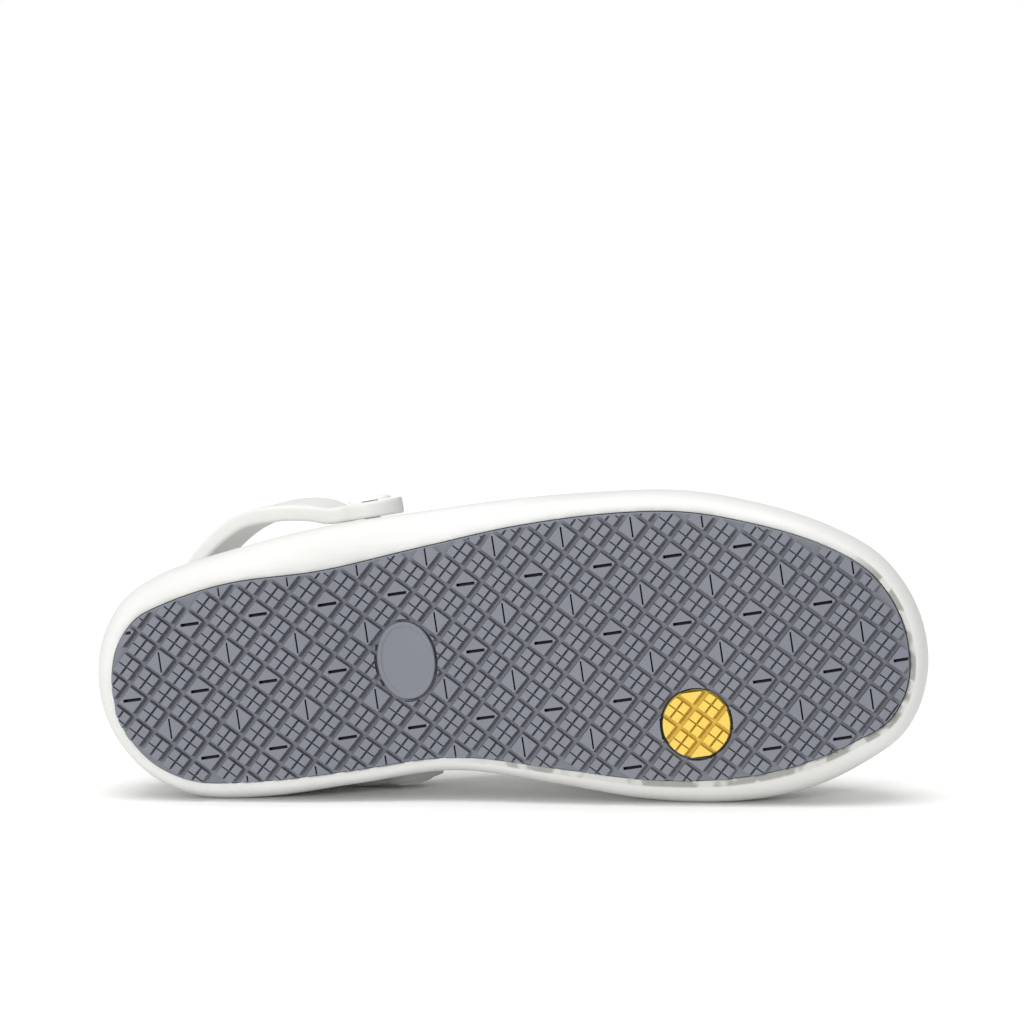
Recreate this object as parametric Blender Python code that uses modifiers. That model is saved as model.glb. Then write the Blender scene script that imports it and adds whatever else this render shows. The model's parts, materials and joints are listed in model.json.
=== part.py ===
"""Moulded work clog with a heel strap: a right shoe, lying on its inner side.

The shoe is modelled upright in its own frame, in metres: X from heel to toe, +Y to the inner
side, Z up from the tread. The empty shoe_frame then lays it down, sole towards -Y.
"""
import math

import bmesh
import bpy
import numpy as np
from mathutils import Matrix, Vector

# Shoe
SHOE_LENGTH = 0.299
BALL_WIDTH = 0.112
INSTEP_HEIGHT = 0.108
WALL = 0.0038
FIT_GAP = 0.0003

# Sole. The toe spring starts, the heel bevel ends and the arch lies at shares of SHOE_LENGTH.
TOE_SPRING = 0.009
TOE_SPRING_START = 0.78
HEEL_BEVEL = 0.003
HEEL_BEVEL_END = 0.07
ARCH_LIFT = 0.006
ARCH_MIDDLE = 0.415
ARCH_REACH = 0.20
LUG_HEIGHT = 0.003
PLATE_THICKNESS = 0.003

# Rim, the rounded edge of the foam round the outsole, and the crease above it
RIM_OVERHANG = 0.008
LIP_RISE = 0.001
LIP_WIDTH = 0.0012
RIM_HEIGHT = 0.016
CREASE_HEIGHT = 0.025
RIM_STEP = 0.0015
SHOULDER_RISE = 0.006
SHOULDER_STEP = 0.0004

# Share of the arch's lift that reaches each height
ARCH_AT_RIM = 0.5
ARCH_AT_SHOULDER = 0.4
ARCH_AT_CREASE = 0.3
ARCH_AT_FOOTBED = 0.5

# Tread. The pattern starts at the plug's middle, which is a share of SHOE_LENGTH and of BALL_WIDTH,
# and the oval pad lies a number of pitches from it.
LUG_PITCH_LONG = 0.0250
LUG_PITCH_WIDE = 0.0242
LUG_HALF = 0.0046
LUG_DRAFT = 0.0003
LUG_SPARE = 0.4
TREAD_EDGE_STEP = 0.0003
PLUG_PLACE = (0.7176, 0.327)
PLUG_RADIUS = 0.0122
PLUG_FLOOR = 0.0010
PAD_PITCHES = (-4, -1.5)
PAD_HALF_LONG = 0.0103
PAD_HALF_WIDE = 0.0140
MOAT = 0.0010

# Footbed and insole
FOOTBED_HEEL = 0.022
FOOTBED_FILLET = 0.0015
INSOLE_THICKNESS = 0.004
INSOLE_BEVEL = 0.001
INSOLE_GAP = 0.0006

# Strap and rivets. RIVET_ALONG is a share of SHOE_LENGTH, PAD_KNOTS are the places of the strap's
# line over a flat pad, in pad radii from the rivet, and the pad's seat is flat PAD_MARGIN past it.
STRAP_WIDTH = 0.019
STRAP_THICKNESS = 0.006
STRAP_EDGE = 0.0015
STRAP_PAD_RADIUS = 0.012
PAD_KNOTS = (-1, 0, 0.6, 1.05)
PAD_MARGIN = 0.003
STRAP_BACK_HEIGHT = 0.084
STRAP_LEAN = math.radians(20)
STRAP_SLOPE = math.radians(11)
RIVET_HEIGHT = 0.050
RIVET_ALONG = 0.347
RIVET_RADIUS = 0.003
RIVET_HEAD_RADIUS = 0.008
RIVET_HEAD_THICKNESS = 0.0016
RIVET_INNER_RADIUS = 0.006
RIVET_HOLE_GAP = 0.0003
RIVET_INNER_GAP = 0.0006

# How finely the forms are divided. WALL_RINGS is even, since the inner face takes every other one.
SIDE_STEPS = 27
WALL_RINGS = 12
RIM_ROUND_STEPS = 4
COLLAR_ROUND_STEPS = 5
STRAP_STEPS = 36
STRAP_TIP_STEPS = 7
HOLE_SEGMENTS = 18
OVAL_SEGMENTS = 24
FINE_STEPS = 360
SETTLE_STEPS = 12

# Seen from above. along is a share of SHOE_LENGTH, outer and inner are shares of BALL_WIDTH from
# the heel's middle, and the overhangs of the rim past the tread are shares of RIM_OVERHANG.
OUTLINE_COLUMNS = ("along", "outer", "inner", "outer_overhang", "inner_overhang")
OUTLINE = (
    (0.00, 0.030, -0.030, 0.95, 0.85),
    (0.02, 0.225, 0.165, 1.02, 0.82),
    (0.05, 0.318, 0.265, 1.15, 0.80),
    (0.10, 0.380, 0.348, 1.32, 0.85),
    (0.18, 0.419, 0.383, 1.38, 0.90),
    (0.30, 0.453, 0.384, 1.88, 0.78),
    (0.42, 0.456, 0.388, 1.55, 0.75),
    (0.54, 0.454, 0.474, 1.15, 0.90),
    (0.64, 0.438, 0.556, 0.93, 1.08),
    (0.74, 0.404, 0.602, 0.87, 1.22),
    (0.83, 0.326, 0.597, 0.85, 1.32),
    (0.91, 0.217, 0.535, 0.80, 1.20),
    (0.96, 0.107, 0.460, 0.80, 1.00),
    (0.99, -0.036, 0.335, 0.82, 0.85),
    (1.00, -0.190, 0.190, 0.85, 0.85),
)

# The last: crown is a share of INSTEP_HEIGHT, fullness is the power of the cross section's curve,
# 2 for an ellipse and more for upright walls.
LAST_COLUMNS = ("along", "crown", "fullness")
LAST = (
    (0.00, 0.53, 5.0),
    (0.20, 0.53, 5.5),
    (0.30, 0.60, 5.9),
    (0.36, 0.69, 5.4),
    (0.43, 0.83, 3.7),
    (0.50, 0.940, 2.7),
    (0.57, 0.930, 2.45),
    (0.65, 0.845, 2.3),
    (0.75, 0.720, 2.3),
    (0.85, 0.628, 2.4),
    (0.93, 0.572, 2.5),
    (1.00, 0.545, 2.6),
)
HEEL_ROUND = (0.030, 5.0)
TOE_ROUND = (0.058, 2.4)

# The collar seen from above: turn runs from the heel to the throat's middle.
COLLAR_COLUMNS = ("turn", "along", "outer", "inner")
COLLAR = (
    (0.00, 0.022, 0.030, -0.030),
    (0.10, 0.041, 0.183, 0.141),
    (0.20, 0.098, 0.317, 0.290),
    (0.30, 0.200, 0.355, 0.321),
    (0.40, 0.307, 0.342, 0.306),
    (0.50, 0.393, 0.285, 0.262),
    (0.65, 0.460, 0.175, 0.150),
    (0.80, 0.490, 0.087, 0.062),
    (1.00, 0.500, 0.013, -0.013),
)

# Height of the footbed over the tread, as a share of FOOTBED_HEEL.
FOOTBED_COLUMNS = ("along", "height")
FOOTBED = ((0.0, 1.0), (0.25, 1.0), (0.45, 0.86), (0.65, 0.68), (0.80, 0.66), (1.0, 0.66))

# The strap's inner face between its two pads. along and across are shares of SHOE_LENGTH and
# BALL_WIDTH, height runs from 0 at the rivets to 1 at the back, lean is a share of STRAP_LEAN.
STRAP_COLUMNS = ("along", "across", "height", "lean")
STRAP = (
    (0.282, -0.462, 0.15, -0.27),
    (0.237, -0.476, 0.30, -0.12),
    (0.190, -0.457, 0.50, 0.55),
    (0.152, -0.402, 0.65, 0.85),
    (0.114, -0.312, 0.80, 1.00),
    (0.078, -0.179, 0.94, 1.00),
    (0.065, -0.021, 1.00, 1.00),
    (0.083, 0.132, 0.94, 1.00),
    (0.118, 0.243, 0.80, 0.95),
    (0.159, 0.304, 0.64, 0.60),
    (0.214, 0.343, 0.42, 0.20),
    (0.276, 0.369, 0.18, 0.00),
)

MATERIALS = {
    "upper_foam": ((0.82, 0.82, 0.81), 0.55),
    "outsole_rubber": ((0.165, 0.185, 0.215), 0.60),
    "plug_rubber": ((0.86, 0.60, 0.06), 0.55),
    "insole_foam": ((0.80, 0.80, 0.79), 0.80),
    "strap_foam": ((0.80, 0.80, 0.79), 0.55),
    "rivet_plastic": ((0.80, 0.80, 0.80), 0.40),
}


# Curves and tables

def smooth(keys, values, at):
    """Cubic through the table's values, with slopes taken from the neighbours."""
    keys = np.asarray(keys, float)
    values = np.asarray(values, float)
    at = np.clip(np.asarray(at, float), keys[0], keys[-1])
    slopes = np.gradient(values, keys)
    i = np.clip(np.searchsorted(keys, at, side="right") - 1, 0, len(keys) - 2)
    span = keys[i + 1] - keys[i]
    t = (at - keys[i]) / span
    start = (1 + 2 * t) * (1 - t) ** 2 * values[i] + t * (1 - t) ** 2 * span * slopes[i]
    end = t * t * (3 - 2 * t) * values[i + 1] + t * t * (t - 1) * span * slopes[i + 1]
    return start + end


def column(table, columns, name):
    """One named column of a table."""
    return np.array([row[columns.index(name)] for row in table])


def turn_of(along):
    """Share of the way round, even at the rounded ends, for a share along the shoe."""
    return np.arccos(1 - 2 * np.clip(along, 0, 1)) / math.pi


def along_of(turn):
    """Share along the shoe for a share of the way round."""
    return (1 - np.cos(math.pi * np.asarray(turn, float))) / 2


def outline_value(name, turn):
    """A column of the outline at a share of the way round."""
    keys = turn_of(column(OUTLINE, OUTLINE_COLUMNS, "along"))
    return smooth(keys, column(OUTLINE, OUTLINE_COLUMNS, name), turn)


def last_value(name, x):
    """A column of the last at a place along the shoe."""
    keys = column(LAST, LAST_COLUMNS, "along")
    return smooth(keys, column(LAST, LAST_COLUMNS, name), x / SHOE_LENGTH)


def inset_sides(inset):
    """The outer and inner side of the outline, heel to toe, moved inwards by inset(side, turn)."""
    turn = np.linspace(0, 1, FINE_STEPS + 1)
    x = SHOE_LENGTH * along_of(turn)
    sides = {}
    for side, sign in (("outer", -1), ("inner", 1)):
        y = sign * BALL_WIDTH * outline_value(side, turn)
        dx = np.gradient(x)
        dy = np.gradient(y)
        dx[0] = 0
        dx[-1] = 0
        size = np.hypot(dx, dy)
        move = inset(side, turn)
        sides[side] = (x + sign * dy / size * move, y - sign * dx / size * move)
    return sides


def even(distance):
    """An inset that is the same all round."""
    return lambda side, turn: distance + 0 * turn


def tread_inset(extra=0.0):
    """From the rim's widest line in to the outsole's edge, and extra further."""
    return lambda side, turn: RIM_OVERHANG * outline_value(side + "_overhang", turn) + extra


def stations(sides):
    """Places along the shoe, closer together at the rounded ends."""
    x = sides["outer"][0]
    turn = np.arange(SIDE_STEPS + 1) / SIDE_STEPS
    return x[0] + (x[-1] - x[0]) * along_of(turn)


def plan_ring(sides, places=None):
    """A closed ring of plan points: heel, outer side, toe, inner side."""
    places = stations(sides) if places is None else places
    (outer_x, outer_y), (inner_x, inner_y) = sides["outer"], sides["inner"]
    outer = np.column_stack([places[1:-1], np.interp(places[1:-1], outer_x, outer_y)])
    inner = np.column_stack([places[1:-1], np.interp(places[1:-1], inner_x, inner_y)])
    heel = [outer_x[0], (outer_y[0] + inner_y[0]) / 2]
    toe = [outer_x[-1], (outer_y[-1] + inner_y[-1]) / 2]
    return np.vstack([heel, outer, toe, inner[::-1]])


def run_length(points):
    """Distance along a line of points, from its first."""
    return np.concatenate([[0], np.cumsum(np.linalg.norm(np.diff(points, axis=0), axis=1))])


def with_height(plan, z):
    """Plan points with their heights."""
    return np.column_stack([plan, z])


# The sole's lift from the floor

def end_lift(x):
    """Toe spring and heel bevel."""
    along = x / SHOE_LENGTH
    toe = np.clip((along - TOE_SPRING_START) / (1 - TOE_SPRING_START), 0, None) ** 2
    heel = np.clip(1 - along / HEEL_BEVEL_END, 0, None) ** 2
    return TOE_SPRING * toe + HEEL_BEVEL * heel


def arch_lift(x):
    """The waist's lift between heel and forefoot."""
    reach = np.clip(np.abs(x / SHOE_LENGTH - ARCH_MIDDLE) / ARCH_REACH, 0, 1)
    return ARCH_LIFT * np.cos(reach * math.pi / 2) ** 2


TREAD_SIDES = inset_sides(tread_inset())
TREAD_STATIONS = stations(TREAD_SIDES)


def sole_lift(x):
    """Lift of the flat tread plane, straight between the tread's stations."""
    lift = end_lift(TREAD_STATIONS) + arch_lift(TREAD_STATIONS)
    return np.interp(x, TREAD_STATIONS, lift)


def footbed_height(x):
    """Height of the footbed, straight between the tread's stations."""
    share = smooth(
        column(FOOTBED, FOOTBED_COLUMNS, "along"),
        column(FOOTBED, FOOTBED_COLUMNS, "height"),
        TREAD_STATIONS / SHOE_LENGTH,
    )
    lift = end_lift(TREAD_STATIONS) + arch_lift(TREAD_STATIONS) * ARCH_AT_FOOTBED
    return np.interp(x, TREAD_STATIONS, FOOTBED_HEEL * share + lift)


# The last's surface over the crease

CREASE_SIDES = inset_sides(even(RIM_STEP))


def crease_height(x):
    """Height of the crease between the rim and the wall."""
    return CREASE_HEIGHT + end_lift(x) + arch_lift(x) * ARCH_AT_CREASE


def end_rounding(distance, reach, power):
    """0 at an end of the shoe, 1 where its rounding is over."""
    left = 1 - np.clip(distance / reach, 0, 1)
    return (1 - left ** power) ** (1 / power)


def last_sides(x):
    """Middle and half width of the last at the crease."""
    outer = np.interp(x, *CREASE_SIDES["outer"])
    inner = np.interp(x, *CREASE_SIDES["inner"])
    return (outer + inner) / 2, (inner - outer) / 2


def last_height(x, y):
    """Height of the last's surface over a plan point."""
    middle, half = last_sides(x)
    power = last_value("fullness", x)
    across = np.clip(np.abs(y - middle) / np.maximum(half, 1e-6), 0, 1)
    section = (1 - across ** power) ** (1 / power)
    heel = end_rounding(x - CREASE_SIDES["outer"][0][0], *HEEL_ROUND)
    toe = end_rounding(CREASE_SIDES["outer"][0][-1] - x, *TOE_ROUND)
    base = crease_height(x)
    return base + (INSTEP_HEIGHT * last_value("crown", x) - base) * section * heel * toe


def wall_point(side, x, z):
    """The wall's outer face at a place along the shoe and a height."""
    middle, half = last_sides(x)
    power = last_value("fullness", x)
    base = crease_height(x)
    share = np.clip((z - base) / (INSTEP_HEIGHT * last_value("crown", x) - base), 0, 1)
    across = half * (1 - share ** power) ** (1 / power)
    return Vector((float(x), float(middle + side * across), float(z)))


def wall_normal(side, x, z, step=0.002):
    """Outward normal of the wall, from points a step away."""
    along = wall_point(side, x + step, z) - wall_point(side, x - step, z)
    up = wall_point(side, x, z + step) - wall_point(side, x, z - step)
    normal = along.cross(up).normalized()
    return normal if normal.y * side > 0 else -normal


# Meshes

def new_object(name, mesh, collection, material=None):
    """Put a mesh in a collection, with its material."""
    obj = bpy.data.objects.new(name, mesh)
    collection.objects.link(obj)
    if material is not None:
        mesh.materials.append(material)
    return obj


def loft(name, rings):
    """A closed solid through rings of equal count, its two ends closed by rungs side to side."""
    bm = bmesh.new()
    rows = [[bm.verts.new(p) for p in ring] for ring in rings]
    count = len(rows[0])
    for low, high in zip(rows, rows[1:]):
        for i in range(count):
            j = (i + 1) % count
            bm.faces.new((low[i], low[j], high[j], high[i]))
    for row in (rows[0], rows[-1]):
        half = count // 2
        bm.faces.new((row[0], row[1], row[-1]))
        for k in range(1, half - 1):
            bm.faces.new((row[k], row[k + 1], row[-k - 1], row[-k]))
        bm.faces.new((row[half - 1], row[half], row[half + 1]))
    bmesh.ops.recalc_face_normals(bm, faces=bm.faces)
    mesh = bpy.data.meshes.new(name)
    bm.to_mesh(mesh)
    bm.free()
    return mesh


def evaluated(obj):
    """Replace an object's mesh by what its modifiers make of it."""
    graph = bpy.context.evaluated_depsgraph_get()
    mesh = bpy.data.meshes.new_from_object(obj.evaluated_get(graph))
    obj.modifiers.clear()
    obj.data = mesh
    return obj


def combine(target, operation, operand):
    """Cut, join or clip one object by another."""
    modifier = target.modifiers.new(operation.lower(), "BOOLEAN")
    modifier.operation = operation
    modifier.solver = "EXACT"
    modifier.object = operand
    evaluated(target)


def cutter_object(name, mesh, collection):
    """A cutter, drawn as wire and left out of the render."""
    obj = new_object(name, mesh, collection)
    obj.display_type = "WIRE"
    obj.hide_render = True
    return obj


def cylinder_mesh(name, radius, low, high, segments=OVAL_SEGMENTS, stretch=(1, 1)):
    """An upright cylinder, round or oval, between two heights."""
    bm = bmesh.new()
    place = Matrix.Translation((0, 0, (low + high) / 2)) @ Matrix.Diagonal((*stretch, 1, 1))
    bmesh.ops.create_cone(
        bm, cap_ends=True, segments=segments, radius1=radius, radius2=radius,
        depth=high - low, matrix=place,
    )
    mesh = bpy.data.meshes.new(name)
    bm.to_mesh(mesh)
    bm.free()
    return mesh


def cut_rivet_hole(piece, side, cutters):
    """Bore a piece for one rivet's shank."""
    reach = 3 * (WALL + STRAP_THICKNESS)
    bore = cylinder_mesh("bore", RIVET_RADIUS + RIVET_HOLE_GAP, -reach, reach, HOLE_SEGMENTS)
    hole = cutter_object("rivet_bore", bore, cutters)
    hole.matrix_world = rivet_frame(side)
    bpy.context.view_layer.update()
    combine(piece, "DIFFERENCE", hole)


def lug_place(along, across):
    """A place in the pattern, in pitches from the plug's middle."""
    return (
        PLUG_PLACE[0] * SHOE_LENGTH + along * LUG_PITCH_LONG,
        PLUG_PLACE[1] * BALL_WIDTH + across * LUG_PITCH_WIDE,
    )


def lug_mesh(name, root, accepts):
    """Drafted diamonds up to a root height, on the pattern's grid wherever accepts(x, y) holds."""
    bm = bmesh.new()
    slope = LUG_DRAFT / LUG_HEIGHT
    long_count = math.ceil(4 * SHOE_LENGTH / LUG_PITCH_LONG)
    wide_count = math.ceil(4 * BALL_WIDTH / LUG_PITCH_WIDE)
    for i in range(-long_count, long_count + 1):
        for j in range(-wide_count, wide_count + 1):
            x, y = lug_place(i / 4, j / 4)
            if (i + j) % 2 or not accepts(x, y):
                continue
            bmesh.ops.create_cone(
                bm, cap_ends=True, segments=4, radius1=LUG_HALF, radius2=LUG_HALF + slope * root,
                depth=root, matrix=Matrix.Translation((x, y, root / 2)),
            )
    mesh = bpy.data.meshes.new(name)
    bm.to_mesh(mesh)
    bm.free()
    return mesh


def over_tread(x, y):
    """Whether enough of a lug lies inside the tread's edge."""
    spare = LUG_SPARE * LUG_HALF
    if not TREAD_STATIONS[0] - spare < x < TREAD_STATIONS[-1] + spare:
        return False
    outer = np.interp(x, *TREAD_SIDES["outer"]) - spare
    inner = np.interp(x, *TREAD_SIDES["inner"]) + spare
    return outer < y < inner


def bend_to_sole(mesh):
    """Lift a flat tread piece to the sole's arch, toe spring and heel bevel."""
    for vertex in mesh.vertices:
        vertex.co.z += float(sole_lift(vertex.co.x))


# Pieces

def make_upper(collection, cutters, material):
    """The moulded body: seat, rim, outer wall, collar, inner wall and footbed in one skin."""
    seat = plan_ring(inset_sides(tread_inset(-FIT_GAP)), TREAD_STATIONS)
    lip = plan_ring(inset_sides(tread_inset(-FIT_GAP - LIP_WIDTH)))
    widest = plan_ring(inset_sides(even(0)))
    seat_z = LUG_HEIGHT + PLATE_THICKNESS + FIT_GAP
    lip_z = LUG_HEIGHT + LIP_RISE
    rings = [
        with_height(seat, seat_z + sole_lift(seat[:, 0])),
        with_height(seat, lip_z + sole_lift(seat[:, 0])),
    ]
    for step in range(RIM_ROUND_STEPS + 1):
        angle = step / RIM_ROUND_STEPS * math.pi / 2
        plan = lip + (widest - lip) * math.sin(angle)
        share = 1 - math.cos(angle)
        arch = 1 + (ARCH_AT_RIM - 1) * share
        lift = end_lift(plan[:, 0]) + arch_lift(plan[:, 0]) * arch
        rings.append(with_height(plan, lip_z + (RIM_HEIGHT - lip_z) * share + lift))
    shoulder = plan_ring(inset_sides(even(SHOULDER_STEP)))
    lift = end_lift(shoulder[:, 0]) + arch_lift(shoulder[:, 0]) * ARCH_AT_SHOULDER
    rings.append(with_height(shoulder, RIM_HEIGHT + SHOULDER_RISE + lift))

    wall = wall_rings(plan_ring(CREASE_SIDES))
    rings += wall
    normals, uphill = wall_directions(wall)
    collar_middle = wall[-1] - normals[-1] * WALL / 2
    for step in range(1, COLLAR_ROUND_STEPS):
        angle = step / COLLAR_ROUND_STEPS * math.pi
        turned = normals[-1] * math.cos(angle) + uphill * math.sin(angle)
        rings.append(collar_middle + turned * WALL / 2)
    for index in range(WALL_RINGS, -1, -2):
        rings.append(wall[index] - normals[index] * WALL)
    footbed = plan_ring(footbed_sides(0), TREAD_STATIONS)
    rings.append(with_height(footbed, footbed_height(footbed[:, 0])))

    upper = new_object("upper", loft("upper", rings), collection, material)
    for side in (-1, 1):
        cut_rivet_hole(upper, side, cutters)
    return upper


def wall_rings(crease):
    """Rings of the outer wall, from the crease up to the collar."""
    steps = np.arange(2 * SIDE_STEPS)
    turn = np.where(steps <= SIDE_STEPS, steps, 2 * SIDE_STEPS - steps) / SIDE_STEPS
    keys = column(COLLAR, COLLAR_COLUMNS, "turn")
    along = smooth(keys, column(COLLAR, COLLAR_COLUMNS, "along"), turn) * SHOE_LENGTH
    outer = -smooth(keys, column(COLLAR, COLLAR_COLUMNS, "outer"), turn) * BALL_WIDTH
    inner = smooth(keys, column(COLLAR, COLLAR_COLUMNS, "inner"), turn) * BALL_WIDTH
    collar = np.column_stack([along, np.where(steps <= SIDE_STEPS, outer, inner)])
    power = last_value("fullness", crease[:, 0])
    rings = []
    for ring in range(WALL_RINGS + 1):
        share = (ring / WALL_RINGS) ** power
        plan = crease + (collar - crease) * share[:, None]
        rings.append(with_height(plan, last_height(plan[:, 0], plan[:, 1])))
    return rings


def wall_directions(wall):
    """Outward normals of the wall's rings, and the way up at the collar."""
    grid = np.array(wall)
    around = np.roll(grid, -1, axis=1) - np.roll(grid, 1, axis=1)
    up = np.gradient(grid, axis=0)
    normals = np.cross(around, up)
    normals /= np.linalg.norm(normals, axis=2)[:, :, None]
    middle = grid.mean(axis=(0, 1))
    flip = np.sign(np.sum(normals[0] * (grid[0] - middle), axis=1).mean())
    uphill = up[-1] / np.linalg.norm(up[-1], axis=1)[:, None]
    return normals * flip, uphill


def footbed_sides(extra):
    """The footbed's edge inside the wall, and extra further in."""
    return inset_sides(even(RIM_STEP + WALL + FOOTBED_FILLET + extra))


def make_insole(collection, material):
    """The loose footbed, which lies on the upper's own."""
    plan = plan_ring(footbed_sides(INSOLE_GAP), TREAD_STATIONS)
    base = footbed_height(plan[:, 0]) + FIT_GAP
    inner = plan_ring(footbed_sides(INSOLE_GAP + INSOLE_BEVEL), TREAD_STATIONS)
    top = footbed_height(inner[:, 0]) + FIT_GAP + INSOLE_THICKNESS
    rings = [
        with_height(plan, base),
        with_height(plan, base + INSOLE_THICKNESS - INSOLE_BEVEL),
        with_height(inner, top),
    ]
    return new_object("insole", loft("insole", rings), collection, material)


def make_outsole(collection, cutters, material):
    """The rubber plate with its lugs, oval pad and plug seat, flat and then bent to the sole."""
    plate_z = LUG_HEIGHT + PLATE_THICKNESS
    plate = slab("outsole", TREAD_SIDES, LUG_HEIGHT, plate_z)
    outsole = new_object("outsole", plate, collection, material)

    root = LUG_HEIGHT + PLATE_THICKNESS / 3
    lugs = cutter_object("lug_field", lug_mesh("lug_field", root, over_tread), cutters)
    edge = slab("tread_edge", inset_sides(tread_inset(TREAD_EDGE_STEP)), -plate_z, 2 * plate_z)
    combine(lugs, "INTERSECT", cutter_object("tread_edge", edge, cutters))

    moat = cutter_object("pad_moat", oval("pad_moat", MOAT, -plate_z, plate_z), cutters)
    set_down(moat, PAD_PITCHES)
    combine(lugs, "DIFFERENCE", moat)
    ring = cylinder_mesh("plug_moat", PLUG_RADIUS + FIT_GAP + MOAT / 2, -plate_z, plate_z)
    ring = cutter_object("plug_moat", ring, cutters)
    set_down(ring, (0, 0))
    combine(lugs, "DIFFERENCE", ring)
    combine(outsole, "UNION", lugs)

    pad = oval("oval_pad", 0, 0, LUG_HEIGHT + PLATE_THICKNESS / 2)
    pad = cutter_object("oval_pad", pad, cutters)
    set_down(pad, PAD_PITCHES)
    combine(outsole, "UNION", pad)
    seat = cylinder_mesh("plug_seat", PLUG_RADIUS + FIT_GAP, -plate_z, plate_z - PLUG_FLOOR)
    seat = cutter_object("plug_seat", seat, cutters)
    set_down(seat, (0, 0))
    combine(outsole, "DIFFERENCE", seat)
    bend_to_sole(outsole.data)
    return outsole


def slab(name, sides, low, high):
    """A flat solid with the tread's kind of outline, between two heights."""
    plan = plan_ring(sides, TREAD_STATIONS)
    level = np.ones(len(plan))
    return loft(name, [with_height(plan, low * level), with_height(plan, high * level)])


def oval(name, grow, low, high):
    """The arch pad's oval, grown all round, between two heights."""
    stretch = (PAD_HALF_LONG + grow, PAD_HALF_WIDE + grow)
    return cylinder_mesh(name, 1, low, high, stretch=stretch)


def set_down(obj, pitches):
    """Place an upright cutter at a place in the pattern."""
    obj.location = (*lug_place(*pitches), 0)
    bpy.context.view_layer.update()


def make_plug(collection, cutters, material):
    """The insert: a disc in the outsole's seat, with the tread's own lugs."""
    x, y = lug_place(0, 0)
    top = LUG_HEIGHT + PLATE_THICKNESS - PLUG_FLOOR - FIT_GAP
    disc = cylinder_mesh("tread_plug", PLUG_RADIUS, LUG_HEIGHT, top)
    disc.transform(Matrix.Translation((x, y, 0)))
    plug = new_object("tread_plug", disc, collection, material)

    def near_plug(lug_x, lug_y):
        return math.hypot(lug_x - x, lug_y - y) < PLUG_RADIUS + LUG_SPARE * LUG_HALF

    lugs = lug_mesh("plug_lugs", (LUG_HEIGHT + top) / 2, near_plug)
    lugs = cutter_object("plug_lugs", lugs, cutters)
    edge = cylinder_mesh("plug_edge", PLUG_RADIUS - TREAD_EDGE_STEP, -top, 2 * top)
    edge = cutter_object("plug_edge", edge, cutters)
    set_down(edge, (0, 0))
    combine(lugs, "INTERSECT", edge)
    combine(plug, "UNION", lugs)
    bend_to_sole(plug.data)
    return plug


def rivet_frame(side):
    """A rivet's frame: origin on the wall's outer face, Z out of it, X to the toe."""
    x = RIVET_ALONG * SHOE_LENGTH
    origin = wall_point(side, x, RIVET_HEIGHT)
    out = wall_normal(side, x, RIVET_HEIGHT)
    toe = (Vector((1, 0, 0)) - out * out.x).normalized()
    turn = Matrix((toe, out.cross(toe), out)).transposed().to_4x4()
    return Matrix.Translation(origin) @ turn


def pad_seat(side):
    """Gap between the wall at the rivet and the flat pad, which the wall's hollow side stands into."""
    frame = rivet_frame(side)
    reach = STRAP_PAD_RADIUS + PAD_MARGIN
    around = [
        wall_point(side, frame.translation.x + along, frame.translation.z + up)
        for along in (-reach, 0, reach) for up in (-reach, 0, reach)
    ]
    return FIT_GAP + max((frame.inverted() @ point).z for point in around)


def strap_knots():
    """Points that the strap's middle line passes, and its lean at each, from pad to pad."""
    plan = np.column_stack([
        column(STRAP, STRAP_COLUMNS, "along") * SHOE_LENGTH,
        column(STRAP, STRAP_COLUMNS, "across") * BALL_WIDTH,
    ])
    forward = np.gradient(plan, axis=0)
    outward = np.column_stack([-forward[:, 1], forward[:, 0]])
    outward /= np.linalg.norm(outward, axis=1)[:, None]
    rise = column(STRAP, STRAP_COLUMNS, "height") * (STRAP_BACK_HEIGHT - RIVET_HEIGHT)
    body = with_height(plan + outward * STRAP_THICKNESS / 2, RIVET_HEIGHT + rise)
    flat = np.zeros(len(PAD_KNOTS))
    leans = np.concatenate([flat, column(STRAP, STRAP_COLUMNS, "lean") * STRAP_LEAN, flat])
    return np.vstack([pad_knots(-1), body, pad_knots(1)[::-1]]), leans


def pad_knots(side):
    """Points of the middle line along a flat pad, from its tip."""
    frame = rivet_frame(side)
    toe, up, out = (np.array(frame.col[i].xyz) for i in range(3))
    up *= np.sign(up[2])
    centre = np.array(frame.translation) + out * (pad_seat(side) + STRAP_THICKNESS / 2)
    back = up * math.sin(STRAP_SLOPE) - toe * math.cos(STRAP_SLOPE)
    return np.array([centre + back * STRAP_PAD_RADIUS * share for share in PAD_KNOTS])


def strap_half_width(distance, length):
    """Half the strap's width at a distance along it, with the round pads at its ends."""
    from_pad = np.minimum(distance, length - distance) - STRAP_PAD_RADIUS
    pad = np.sqrt(np.clip(STRAP_PAD_RADIUS ** 2 - from_pad ** 2, 0, None))
    return np.where(from_pad > 0, np.maximum(pad, STRAP_WIDTH / 2), pad)


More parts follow.
